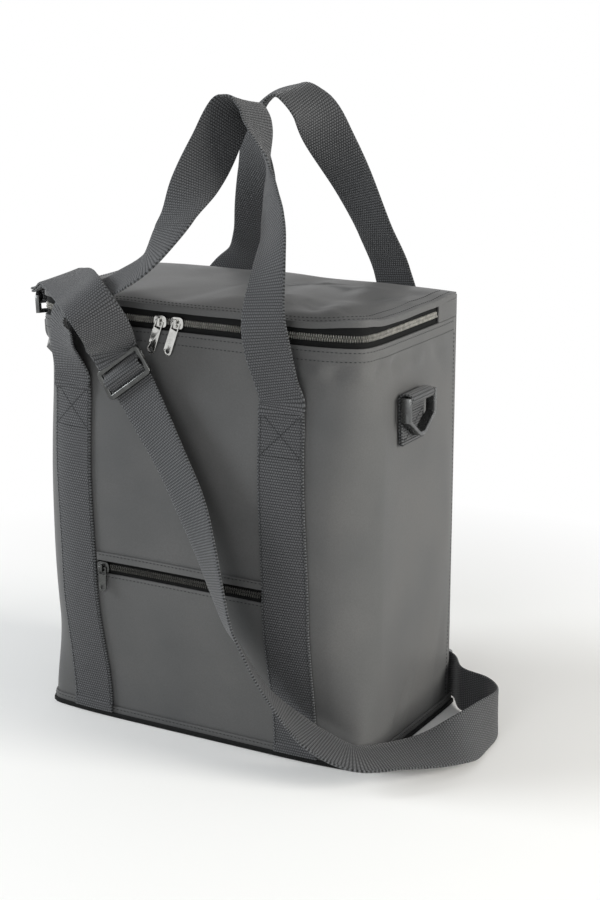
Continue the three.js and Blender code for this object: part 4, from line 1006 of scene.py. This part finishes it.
def edge_wave(x, y):
    """How the lid's sewn edge rises and dips along the zip, most at the right front corner."""
    corner = math.exp(-((x - 0.130) ** 2 + (y + 0.066) ** 2) / 0.013 ** 2)
    before = math.exp(-((x - 0.092) ** 2 + (y + 0.077) ** 2) / 0.020 ** 2)
    slow = noise.noise(Vector((x * 24, y * 24, 4)))
    along_side = ease((abs(x) - 0.140) / 0.005)
    return (1.0 * slow + 1.7 * corner - 1.0 * before - 1.1 * along_side) * MM * ease((0.060 - y) / 0.03)


def lid_height(x, y, inside=0.0):
    rise = max(0.0, (1 - abs(x / HALF_WIDTH) ** 6) * (1 - abs(y / HALF_DEPTH) ** 6))
    height = LID_EDGE + LID_CROWN * rise
    held = ease((HALF_WIDTH - abs(x)) / 0.02) * ease((HALF_DEPTH - abs(y)) / 0.02)
    folds = 0.0
    for start, end, width, depth in LID_FOLDS:
        line = Vector(end) - Vector(start)
        off = Vector((x, y)) - Vector(start)
        t = clamp(off.dot(line) / line.length_squared, 0, 1)
        away = (off - line * t).length / (width * MM)
        folds += depth * MM * math.exp(-away * away)
    soft = 2.3 * MM * noise.noise(Vector((x * 20 + 2, y * 20, 0.5)))
    return height + held * (folds + soft) - inside


def lid_place(p, row):
    kind, value = row
    wave = edge_wave(p[0], p[1])
    if kind == "skirt":
        return swell(p[0], p[1], value, p[2], p[3]) + Vector((0, 0, wave))
    x, y = p[0] * value, -0.002 + (p[1] + 0.002) * value
    height = lid_height(x, y) + wave * ease((value - 0.8) / 0.2)
    return swell(x, y, height, p[2] * value, -0.002 + (p[3] + 0.002) * value)


LID_SHARES = (
    0.9985, 0.992, 0.982, 0.965, 0.94, 0.91, 0.87, 0.82, 0.76, 0.69, 0.61, 0.52, 0.42, 0.31, 0.2, 0.1, 0,
)
LID_ROWS = [("skirt", z) for z in (SKIRT_BOTTOM, 0.3431, 0.3440, 0.3455, 0.3466)]
LID_ROWS += [("top", s) for s in LID_SHARES]
cover = panel("lid_cover_fabric", closed_plan(0, LID_REAR), LID_ROWS, lid_place, FABRIC, closed=True)
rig.padded(dressed(cover, "lid", "body_fabric", SATIN, "lid_cover"), fill=0.7)
lid_foam = plate(
    "lid_foam_sheet", closed_plan(0.0032, LID_REAR - 0.0032),
    lambda x, y, s: lid_height(x, y, 0.0024), 0.0005, edge=0,
)
# The second half of its points is its underside, which lies flat on the lining
LID_FOAM_UNDERSIDE = 0.3441
for vertex in list(lid_foam.data.vertices)[len(lid_foam.data.vertices) // 2:]:
    vertex.co.z = LID_FOAM_UNDERSIDE
turned(lid_foam)
dressed(lid_foam, "lid", "foam", FOAM, "lid_foam")
lid_liner = turned(plate(
    "lid_lining", closed_plan(0.0032, LID_REAR - 0.0032), lambda x, y, s: 0.3438, 0.001,
))
dressed(lid_liner, "lid", "lining", LINING, "lid_liner")


# Webbing sewn up the front and the back
def web_centre(side, z):
    t = clamp((z - 0.140) / (STITCH_TOP - 0.140), 0, 1)
    return side * 0.095 - 0.005 - 0.006 * t


def web_off(z):
    return 0.0006 + 0.0015 * ease((0.0135 - z) / 0.003) + 0.0009 * ease((z - 0.266) / 0.012)


def sewn_web(name, face, side, node):
    heights = steps(0.0044, 0.016, 7) + steps(0.016, STITCH_TOP, 70)[1:]
    piece = panel(
        name, steps(-1, 1, 14), heights,
        lambda s, z: face_point(
            face, web_centre(side, z) + s * WEBBING_WIDTH / 2, z, web_off(z) + WEBBING,
            HALF_WIDTH if face < 0 else BACK_X,
        ),
        WEBBING, uv=lambda i, j: (i / 14 * WEBBING_WIDTH, heights[j]), edge=0.7,
    )
    return dressed(piece, "bag", "webbing", WEB, node)


for face, word in ((-1, "front"), (1, "back")):
    for side, end in ((-1, "left"), (1, "right")):
        sewn_web(f"{word}_web_{end}", face, side, f"{word}_webbing_{end}")


# Bands that leave the fabric follow a smooth line, their width turned as they go
def smooth_line(points, t, even):
    """A point of the curve through the points: centripetal, or even for directions."""
    last = len(points) - 1
    p = last * t
    i = min(int(p), last - 1)
    w = p - i
    p1, p2 = points[i], points[i + 1]
    p0 = points[i - 1] if i > 0 else p1 * 2 - p2
    p3 = points[i + 2] if i + 2 <= last else p2 * 2 - p1
    if even:
        t1, t2 = (p2 - p0) * 0.5, (p3 - p1) * 0.5
    else:
        d0, d1, d2 = ((b - a).length ** 0.5 for a, b in ((p0, p1), (p1, p2), (p2, p3)))
        d1 = d1 if d1 > 1e-4 else 1.0
        d0, d2 = d0 if d0 > 1e-4 else d1, d2 if d2 > 1e-4 else d1
        t1 = ((p1 - p0) / d0 - (p2 - p0) / (d0 + d1) + (p2 - p1) / d1) * d1
        t2 = ((p2 - p1) / d1 - (p3 - p1) / (d1 + d2) + (p3 - p2) / d2) * d1
    c2 = p1 * -3 + p2 * 3 - t1 * 2 - t2
    c3 = p1 * 2 - p2 * 2 + t1 + t2
    return p1 + t1 * w + c2 * w * w + c3 * w * w * w


# Half of the webbing's cross section, as shares of its half width and half thickness
SECTION = [
    (-1, 0), (-0.97, 0.8), (-0.93, 1), (-0.6, 0.94), (-0.2, 0.96), (0.2, 0.96), (0.6, 0.94),
    (0.93, 1), (0.97, 0.8),
]
SECTION = SECTION + [(1, 0)] + [(s, -t) for s, t in reversed(SECTION[1:])]


def band_frames(route, per_span, offset=0.0):
    places = [Vector(r[:3]) for r in route]
    widths = [Vector(r[3:]) for r in route]
    count = (len(route) - 1) * per_span
    made = []
    for i in range(count + 1):
        t = i / count
        centre = smooth_line(places, t, False)
        ahead = smooth_line(places, min(1, t + 1e-4), False)
        behind = smooth_line(places, max(0, t - 1e-4), False)
        tangent = (ahead - behind).normalized()
        wide = smooth_line(widths, t, True)
        wide = (wide - tangent * wide.dot(tangent)).normalized()
        normal = tangent.cross(wide)
        made.append((centre + normal * offset, wide, normal))
    return made


def band(name, frames, width=WEBBING_WIDTH, thickness=WEBBING):
    """Webbing swept through its frames, with thick selvages and closed ends."""
    points, uvs, run = [], [], 0.0
    for n, (centre, wide, normal) in enumerate(frames):
        if n:
            run += (centre - frames[n - 1][0]).length
        for s, t in SECTION:
            points.append(centre + wide * (s * width / 2) + normal * (t * thickness / 2))
            uvs.append(((s + 1) / 2 * width, run))
    round_it = len(SECTION)
    faces = []
    for n in range(len(frames) - 1):
        for k in range(round_it):
            a, b = n * round_it + k, n * round_it + (k + 1) % round_it
            faces.append((a, b, b + round_it, a + round_it))
    last = (len(frames) - 1) * round_it
    half = round_it // 2
    for first, turned_round in ((0, True), (last, False)):
        for k in range(half):
            quad = [k, k + 1, (round_it - k - 1) % round_it, (round_it - k) % round_it]
            quad = [first + corner for corner in dict.fromkeys(quad)]
            faces.append(tuple(reversed(quad)) if turned_round else tuple(quad))
    mesh = bpy.data.meshes.new(name)
    mesh.from_pydata([tuple(p) for p in points], [], faces)
    layer = mesh.uv_layers.new(name="UVMap").data
    for loop in mesh.loops:
        layer[loop.index].uv = uvs[loop.vertex_index]
    piece = bpy.data.objects.new(name, mesh)
    bpy.context.scene.collection.objects.link(piece)
    edit(piece, lambda: bpy.ops.mesh.normals_make_consistent(inside=False))
    smooth(piece, 50)
    return piece


STRAP = [
    (-0.0576, -0.1007, 0.3086, 0.808, 0.020, 0.589), (-0.0541, -0.1010, 0.3038, 0.808, 0.020, 0.589),
    (-0.0528, -0.1012, 0.3019, 0.808, 0.020, 0.589), (-0.0511, -0.1045, 0.2997, 0.808, 0.020, 0.589),
    (-0.0492, -0.1077, 0.2973, 0.808, 0.020, 0.589), (-0.0469, -0.1080, 0.2941, 0.808, 0.020, 0.589),
    (-0.0449, -0.1051, 0.2913, 0.808, 0.020, 0.589), (-0.0431, -0.1022, 0.2887, 0.808, 0.020, 0.589),
    (-0.0418, -0.1023, 0.2868, 0.808, 0.020, 0.589), (-0.0382, -0.1027, 0.2820, 0.808, 0.020, 0.589),
    (-0.0041, -0.1124, 0.2388, 0.841, -0.230, 0.490), (0.0183, -0.1177, 0.2040, 0.857, -0.299, 0.419),
    (0.0329, -0.1210, 0.1719, 0.766, -0.484, 0.423), (0.0434, -0.1228, 0.1427, 0.667, -0.626, 0.404),
    (0.0538, -0.1231, 0.1145, 0.563, -0.743, 0.362), (0.0635, -0.1216, 0.0984, 0.498, -0.817, 0.289),
    (0.0755, -0.1191, 0.0774, 0.472, -0.854, 0.221), (0.0870, -0.1152, 0.0607, 0.459, -0.879, 0.130),
    (0.1045, -0.1109, 0.0440, 0.438, -0.896, -0.080), (0.1247, -0.1093, 0.0319, 0.402, -0.905, -0.141),
    (0.1499, -0.1020, 0.0220, 0.351, -0.933, -0.080), (0.1740, -0.0755, 0.0190, 0.403, -0.907, -0.121),
    (0.1907, -0.0531, 0.0182, 0.402, -0.865, -0.302), (0.2037, -0.0277, 0.0198, 0.368, -0.716, -0.593),
    (0.2074, 0.0029, 0.0205, 0.262, -0.444, -0.857), (0.2059, 0.0359, 0.0201, 0.060, -0.100, -0.993),
    (0.1889, 0.0560, 0.0198, 0, 0, -1), (0.1610, 0.0662, 0.0198, 0, 0, -1),
    (0.1436, 0.0870, 0.0213, 0, 0, -1), (0.1160, 0.0970, 0.0220, 0, 0, -1),
    (0.0580, 0.0970, 0.0205, 0, 0, -1), (0.0000, 0.0970, 0.0205, 0, 0, -1),
    (-0.0580, 0.0970, 0.0205, 0, 0, -1), (-0.1015, 0.0978, 0.0205, 0, 0, -1),
    (-0.1145, 0.1078, 0.0205, 0, 0, -1), (-0.1015, 0.1186, 0.0205, 0, 0, -1),
    (-0.0580, 0.1201, 0.0213, 0, 0, -1), (-0.0145, 0.1201, 0.0228, 0, 0, -1),
    (0.0145, 0.1201, 0.0236, 0, 0, -1), (0.0525, 0.1213, 0.0236, 0, 0, -1),
    (0.0905, 0.1241, 0.0236, 0, 0, -1), (0.0933, 0.1229, 0.0236, 0, 0, -1),
    (0.0945, 0.1201, 0.0236, 0, 0, -1), (0.0933, 0.1173, 0.0236, 0, 0, -1),
    (0.0905, 0.1162, 0.0236, 0, 0, -1), (0.0525, 0.1190, 0.0236, 0, 0, -1),
]
FRONT_HANDLE = [
    (-0.1060, -0.0928, 0.2796, 0.989, -0.149, 0.000), (-0.1060, -0.0921, 0.2860, 0.989, -0.149, 0.000),
    (-0.1095, -0.0986, 0.3132, 0.845, -0.476, 0.243), (-0.1037, -0.1032, 0.3362, 0.830, -0.498, 0.249),
    (-0.0847, -0.1028, 0.3490, 0.834, -0.542, 0.104), (-0.0587, -0.1041, 0.3611, 0.746, -0.665, -0.030),
    (-0.0265, -0.1032, 0.3811, 0.721, -0.691, -0.050), (-0.0145, -0.0909, 0.4034, 0.896, -0.438, -0.070),
    (-0.0123, -0.0787, 0.4156, 0.951, -0.300, -0.080), (-0.0101, -0.0608, 0.4356, 0.912, 0.410, -0.020),
    (-0.0070, -0.0393, 0.4602, 0.701, 0.631, -0.331), (-0.0032, -0.0270, 0.4802, 0.603, 0.754, -0.261),
    (0.0008, -0.0215, 0.4900, 0.450, 0.860, -0.235), (0.0095, -0.0200, 0.4950, 0.250, 0.945, -0.200),
    (0.0182, -0.0215, 0.4890, 0.130, 0.970, -0.200), (0.0235, -0.0240, 0.4782, 0.081, 0.976, -0.201),
    (0.0313, -0.0300, 0.4605, -0.282, 0.926, -0.252), (0.0371, -0.0340, 0.4500, -0.471, 0.842, -0.261),
    (0.0415, -0.0400, 0.4359, -0.622, 0.742, -0.251), (0.0508, -0.0534, 0.4198, -0.730, 0.640, -0.240),
    (0.0605, -0.0676, 0.4067, -0.796, 0.554, -0.242), (0.0690, -0.0874, 0.3831, -0.922, 0.331, -0.200),
    (0.0729, -0.1016, 0.3480, -0.991, 0.030, -0.131), (0.0760, -0.1009, 0.3247, -0.993, -0.101, -0.061),
    (0.0808, -0.0963, 0.2998, -1.000, 0.000, 0.000), (0.0840, -0.0940, 0.2860, -0.998, -0.056, 0.000),
    (0.0840, -0.0949, 0.2796, -0.998, -0.056, 0.000),
]
BACK_HANDLE = [
    (-0.1060, 0.0817, 0.2796, 0.999, 0.032, 0.000), (-0.1060, 0.0812, 0.2860, 0.999, 0.032, 0.000),
    (-0.1008, 0.0970, 0.3100, 0.997, 0.000, -0.081), (-0.0812, 0.0986, 0.3346, 0.979, 0.000, -0.206),
    (-0.0580, 0.0932, 0.3526, 0.986, 0.052, -0.156), (-0.0451, 0.0840, 0.3726, 0.993, 0.060, 0.100),
    (-0.0371, 0.0740, 0.3992, 0.991, 0.060, 0.120), (-0.0276, 0.0600, 0.4297, 0.973, -0.205, 0.102),
    (-0.0165, 0.0420, 0.4677, 0.810, -0.587, 0.000), (0.0001, 0.0340, 0.4923, 0.354, -0.930, -0.101),
    (0.0204, 0.0300, 0.5009, -0.249, -0.948, -0.200), (0.0370, 0.0320, 0.4900, -0.447, -0.844, -0.298),
    (0.0493, 0.0420, 0.4628, -0.789, -0.228, -0.571), (0.0615, 0.0560, 0.4310, -0.852, 0.132, -0.507),
    (0.0740, 0.0720, 0.3906, -0.842, 0.361, -0.401), (0.0806, 0.0901, 0.3559, -0.926, 0.252, -0.282),
    (0.0860, 0.0963, 0.3149, -0.995, 0.000, -0.102), (0.0840, 0.0815, 0.2860, -1.000, 0.011, 0.000),
    (0.0840, 0.0821, 0.2796, -1.000, 0.011, 0.000),
]
OVER_LID = [
    (-0.1836, -0.0103, 0.3374, 0.012, 0.995, -0.100), (-0.1685, -0.0239, 0.3450, 0.251, 0.953, 0.170),
    (-0.1350, -0.0597, 0.3545, 0.605, 0.748, 0.275), (-0.0925, -0.1025, 0.3575, 0.574, 0.589, 0.569),
    (-0.0662, -0.1280, 0.3545, 0.606, 0.465, 0.646), (-0.0558, -0.1300, 0.3448, 0.663, 0.382, 0.643),
    (-0.0535, -0.1180, 0.3275, 0.746, 0.200, 0.636), (-0.0575, -0.1060, 0.3130, 0.808, 0.020, 0.589),
]
EYE_LOOP = [
    (-0.1848, -0.0101, 0.3392, 0.012, 0.995, -0.100), (-0.1864, -0.0112, 0.3275, 0.012, 0.995, -0.100),
    (-0.1849, -0.0115, 0.3249, 0.012, 0.995, -0.100), (-0.1820, -0.0116, 0.3241, 0.012, 0.995, -0.100),
    (-0.1794, -0.0115, 0.3256, 0.012, 0.995, -0.100), (-0.1785, -0.0112, 0.3285, 0.012, 0.995, -0.100),
    (-0.1829, -0.0101, 0.3395, 0.012, 0.995, -0.100),
]
RIGHT_FITTINGS = ["hook_right", "hook_gate_right", "hook_eye_right"]


# Metal fittings keep their CAD form, with the sharp edges of the casting rounded over
def rounded_fitting(node, body, slot, material, radius):
    deselect()
    source = frame["nodes"][node]
    piece = source.copy()
    piece.data = source.data.copy()
    for key in [k for k in piece.keys() if k.startswith("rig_")]:
        del piece[key]
    piece.name = piece.data.name = f"{node}_metal"
    bpy.context.scene.collection.objects.link(piece)
    piece.hide_render = piece.hide_viewport = False
    edit(
        piece,
        lambda: bpy.ops.mesh.remove_doubles(threshold=1e-6),
        lambda: bpy.ops.mesh.dissolve_limited(angle_limit=math.radians(3)),
        lambda: bpy.ops.mesh.normals_make_consistent(inside=False),
    )
    finished(piece, ("BEVEL", {
        "width": radius * MM, "segments": 2, "limit_method": "ANGLE",
        "angle_limit": math.radians(35), "use_clamp_overlap": True,
    }))
    smooth(piece, 35)
    return dressed(piece, body, slot, material, node)


fittings = {}
for end in ("left", "right"):
    eye_body = "hook_eye_left" if end == "left" else "bag"
    for part, body, slot, metal, radius in (
        ("d_ring", f"d_ring_{end}", "ring_metal", GUNMETAL, 0.6),
        ("hook", f"hook_{end}", "hook_metal", GUNMETAL, 0.5),
        ("hook_gate", f"hook_gate_{end}", "slider_metal", NICKEL, 0.3),
        ("hook_eye", eye_body, "hook_metal", GUNMETAL, 0.5),
    ):
        fittings[f"{part}_{end}"] = rounded_fitting(f"{part}_{end}", body, slot, metal, radius)
fittings["tri_glide"] = rounded_fitting("tri_glide", "bag", "ring_metal", DARK_METAL, 0.7)
for word, metal in (("zip_left", NICKEL), ("zip_right", NICKEL), ("pocket", DARK_METAL)):
    for part, radius in (("slider", 0.35), ("pull", 0.25)):
        node = f"{word}_{part}"
        fittings[node] = rounded_fitting(node, node, "slider_metal", metal, radius)
board = frame["nodes"]["base_board"]
for material_slot in board.material_slots:
    material_slot.material = BOARD

# The shoulder strap, from its sliding loop down the front and round the floor to its hook
strap_frames = band_frames(STRAP, 8)
strap = dressed(band("strap_webbing", strap_frames), "bag", "webbing", WEB, "shoulder_strap")
strap_path = [tuple(f[0]) for f in strap_frames]


def run_of(path):
    return sum((Vector(b) - Vector(a)).length for a, b in zip(path, path[1:]))


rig.cord(
    strap, exit=strap_path[0], length=round(run_of(strap_path), 3), diameter=WEBBING_WIDTH,
    far_end="fitting", stiffness="limp", lay="loose", path=strap_path,
    with_pieces=[fittings[n] for n in RIGHT_FITTINGS],
)

# The loop over the lid: its last stretch leads on into the sliding loop
INTO_GLIDE = [
    (-0.0565, -0.1040, 0.3082, 0.808, 0.020, 0.589),
    (-0.0540, -0.1034, 0.3036, 0.808, 0.020, 0.589),
]
bight_frames = band_frames(OVER_LID + INTO_GLIDE, 9)
layers = [
    band("bight_layer_outer", band_frames(OVER_LID + INTO_GLIDE, 9, 1.16 * MM)),
    band("bight_layer_inner", band_frames(OVER_LID, 9, -1.16 * MM)),
]
layers.append(band("bight_eye", band_frames(EYE_LOOP, 6), WEBBING_WIDTH - GAP))
bight = dressed(joined("strap_bight_webbing", layers), None, "webbing", WEB, "strap_bight")
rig.blend(bight, "bag", "strap_bight", start=(-0.0540, -0.1034, 0.3036), end=(-0.0558, -0.1300, 0.3448))
bight_path = [tuple(f[0]) for f in bight_frames]
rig.cord(
    bight, exit=bight_path[0], length=round(run_of(bight_path), 3), diameter=WEBBING_WIDTH,
    far_end="object", stiffness="limp", lay="loose", path=bight_path,
)


def from_sewn(face, route):
    """The handle's route with its two feet laid on the sewn webbing, so that the two read as one."""
    feet = []
    for side, first in ((-1, route[0]), (1, route[-1])):
        for z in (0.2755, 0.2788):
            point = face_point(
                face, web_centre(side, z), z, web_off(z) + WEBBING / 2 + 0.00015,
                HALF_WIDTH if face < 0 else BACK_X,
            )
            feet.append((*point, *first[3:]))
    return feet[:2] + route[1:-1] + [feet[3], feet[2]]


for face, word, route in ((-1, "front", FRONT_HANDLE), (1, "back", BACK_HANDLE)):
    handle = band(f"{word}_handle_webbing", band_frames(from_sewn(face, route), 7))
    dressed(handle, f"{word}_handle", "webbing", WEB, f"{word}_handle")


# Tabs that hold the rings: webbing folded round the bar and sewn to the side
def ring_tab(end, side):
    foot = swell(side * HALF_WIDTH, RING_ACROSS, RING_HEIGHT)
    outline = [
        (2.4, -36), (1.8, -24), (1.6, -12), (1.5, -3), (1.9, 1.4), (4.6, 3.1), (9.06, 3.25),
        (11.4, 2.3), (12.3, 0), (11.4, -2.3), (9.06, -3.2), (6.0, -4.0), (4.1, -7), (3.6, -13),
        (3.7, -24), (4.3, -36),
    ]
    route = [
        (foot.x + side * out * MM, foot.y, foot.z + z * MM, 0, -side, 0) for out, z in outline
    ]
    piece = band(f"ring_tab_web_{end}", band_frames(route, 5), WEBBING_WIDTH - 0.0004, 0.0018)
    return dressed(piece, "bag", "webbing", WEB, f"ring_tab_{end}")


for end, side in (("left", -1), ("right", 1)):
    ring_tab(end, side)


# Stitching
STITCH = shaped(2.3 * MM, 0.7 * MM, 0.55 * MM, 6, 4)


def sewn(name, lines, body, pitch=3.4, shape=STITCH):
    places = []
    for line in lines:
        for point, direction, normal in spaced(line, pitch * MM):
            places.append((point, direction, direction.cross(normal), normal))
    return dressed(copied(name, shape, places), body, "webbing", THREAD)


rim_rows = [plan_line(-0.0001, RIM - drop, SIDE_END - 0.004) for drop in (0.0030, 0.0098)]
sewn("rim_stitches", rim_rows, "bag")
sewn("hem_stitches", [plan_line(-0.0016, 0.0074, SIDE_END - 0.002)], "bag")


def on_web(face, side, s, z):
    point = face_point(
        face, web_centre(side, z) + s * WEBBING_WIDTH / 2, z, web_off(z) + WEBBING + 0.0001,
        HALF_WIDTH if face < 0 else BACK_X,
    )
    return point, Vector((0, face, 0))


def web_line(face, side, start, end, count=16):
    return [
        on_web(face, side, start[0] + (end[0] - start[0]) * t, start[1] + (end[1] - start[1]) * t)
        for t in steps(0, 1, count)
    ]


web_lines = []
for face in (-1, 1):
    for side in (-1, 1):
        low, high = 0.2455, 0.2775
        corners = [(-0.88, low), (0.88, low), (0.88, high), (-0.88, high), (-0.88, low)]
        web_lines += [web_line(face, side, a, b) for a, b in zip(corners, corners[1:])]
        for edge in (-0.88, 0.88):
            web_lines.append(web_line(face, side, (edge, low), (-edge, high)))
        web_lines += [web_line(face, side, (s, 0.012), (s, low), 60) for s in (-0.9, 0.9)]
sewn("webbing_stitches", web_lines, "bag", 2.6)

pocket_lines = [
    [on_front(off)(x, z) for x in POCKET_XS] for off, z in ((0.0018, 0.1458), (0.0001, 0.1275))
]
sewn("pocket_stitches", [[(p, Vector((0, -1, 0))) for p in line] for line in pocket_lines], "bag")


def lid_edge_line(share):
    line = []
    for p in open_plan(0, LID_REAR - 0.004):
        x, y = p[0] * share, -0.002 + (p[1] + 0.002) * share
        line.append((
            swell(
                x, y, lid_height(x, y) + edge_wave(p[0], p[1]) * ease((share - 0.8) / 0.2) + 0.0001,
                p[2] * share, -0.002 + (p[3] + 0.002) * share,
            ),
            Vector((0, 0, 1)),
        ))
    return line


sewn("lid_stitches", [lid_edge_line(0.975), lid_edge_line(0.925)], "lid")
rear_lines = []
for side in (-1, 1):
    rear_lines.append([
        (swell(side * (HALF_WIDTH + 0.0001), 0.0690, z), Vector((side, 0, 0)))
        for z in steps(0.012, RIM - 0.012, 60)
    ])
    rear_lines.append([
        (face_point(1, side * 0.1375, z, 0.0001, BACK_X), Vector((0, 1, 0)))
        for z in steps(0.012, REAR_TOP - 0.004, 60)
    ])
sewn("rear_seam_stitches", rear_lines, "bag")
tab_lines = []
for side in (-1, 1):
    foot = swell(side * HALF_WIDTH, RING_ACROSS, RING_HEIGHT)
    out = Vector((side, 0, 0))

    def on_tab(y, z):
        return foot + Vector((side * (5.2 if z < -30 else 4.7) * MM, y * MM, z * MM)), out

    box = [(-16, -33), (16, -33), (16, -12), (-16, -12), (-16, -33), (16, -12)]
    tab_lines += [
        [on_tab(a[0] + (b[0] - a[0]) * t, a[1] + (b[1] - a[1]) * t) for t in steps(0, 1, 8)]
        for a, b in zip(box, box[1:])
    ]
sewn("tab_stitches", tab_lines, "bag", 3.2)
strap_lines = [[
    (Vector((x, 0.1213 + 0.0016 + (x - 0.0525) * 0.06, 0.0236 + drop)), Vector((0, 1, 0)))
    for x in steps(0.054, 0.080, 6)
] for drop in (-0.015, 0.015)]
sewn("strap_end_stitches", strap_lines, "bag", 3.2)


# The studio: pale floor that fades into white, soft light
def seen_white(tree):
    """1 for camera, glossy and transmission rays, so that metal shows the white too."""
    light_path = add_node(tree, "ShaderNodeLightPath")
    seen = maths(tree, "MAXIMUM", light_path.outputs["Is Camera Ray"], light_path.outputs["Is Glossy Ray"])
    return maths(tree, "MAXIMUM", seen, light_path.outputs["Is Transmission Ray"])


def make_floor():
    deselect()
    bpy.ops.mesh.primitive_grid_add(x_subdivisions=8, y_subdivisions=8, size=12)
    floor = bpy.context.object
    floor.name = "floor"
    material, tree, shader = new_material("studio_floor", "#f4f4f3", 0.9)
    where = place_of(tree)
    far = add_node(tree, "ShaderNodeVectorMath", {0: where}, operation="LENGTH").outputs["Value"]
    white = add_node(tree, "ShaderNodeEmission", {0: (1, 1, 1, 1), 1: 1.0})
    seen = seen_white(tree)
    fade = maths(tree, "MULTIPLY", graded(tree, far, 0.32, 0.62, 0, 1), seen)
    both = add_node(tree, "ShaderNodeMixShader", {0: fade, 1: shader.outputs[0], 2: white.outputs[0]})
    output = next(n for n in tree.nodes if n.type == "OUTPUT_MATERIAL")
    tree.links.new(both.outputs[0], output.inputs[0])
    floor.data.materials.append(material)
    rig.stage(floor)


def make_world():
    world = bpy.data.worlds.new("studio")
    bpy.context.scene.world = world
    world.use_nodes = True
    tree = world.node_tree
    tree.nodes.clear()
    seen = seen_white(tree)
    dim = add_node(tree, "ShaderNodeBackground", {0: (0.99, 0.995, 1.0, 1), 1: 0.38})
    bright = add_node(tree, "ShaderNodeBackground", {0: (1, 1, 1, 1), 1: 1.0})
    both = add_node(tree, "ShaderNodeMixShader", {0: seen, 1: dim.outputs[0], 2: bright.outputs[0]})
    add_node(tree, "ShaderNodeOutputWorld", {0: both.outputs[0]})


def make_lamp(name, place, aim, size, power, colour):
    lamp = bpy.data.lights.new(name, "AREA")
    lamp.shape, lamp.size, lamp.energy, lamp.color = "DISK", size, power, colour
    thing = bpy.data.objects.new(name, lamp)
    thing.location = place
    thing.rotation_mode = "QUATERNION"
    thing.rotation_quaternion = (Vector(aim) - Vector(place)).to_track_quat("-Z", "Y")
    bpy.context.scene.collection.objects.link(thing)


make_floor()
make_world()
make_lamp("window_lamp", (-2.0, -0.95, 1.15), (0, 0, 0.2), 1.0, 46, (0.95, 0.98, 1.0))
make_lamp("side_lamp", (2.3, 0.1, 0.8), (0.1, 0, 0.18), 1.2, 58, (1.0, 0.975, 0.92))
make_lamp("front_lamp", (0.3, -2.6, 1.0), (0, 0, 0.2), 1.4, 14, (1.0, 1.0, 1.0))
bpy.context.scene.view_settings.view_transform = "Standard"

deselect()
with open("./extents.json", "w") as handle:
    json.dump({"cad": [list(c) for c in cad_box], "visual": [list(c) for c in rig.bounds()]}, handle)
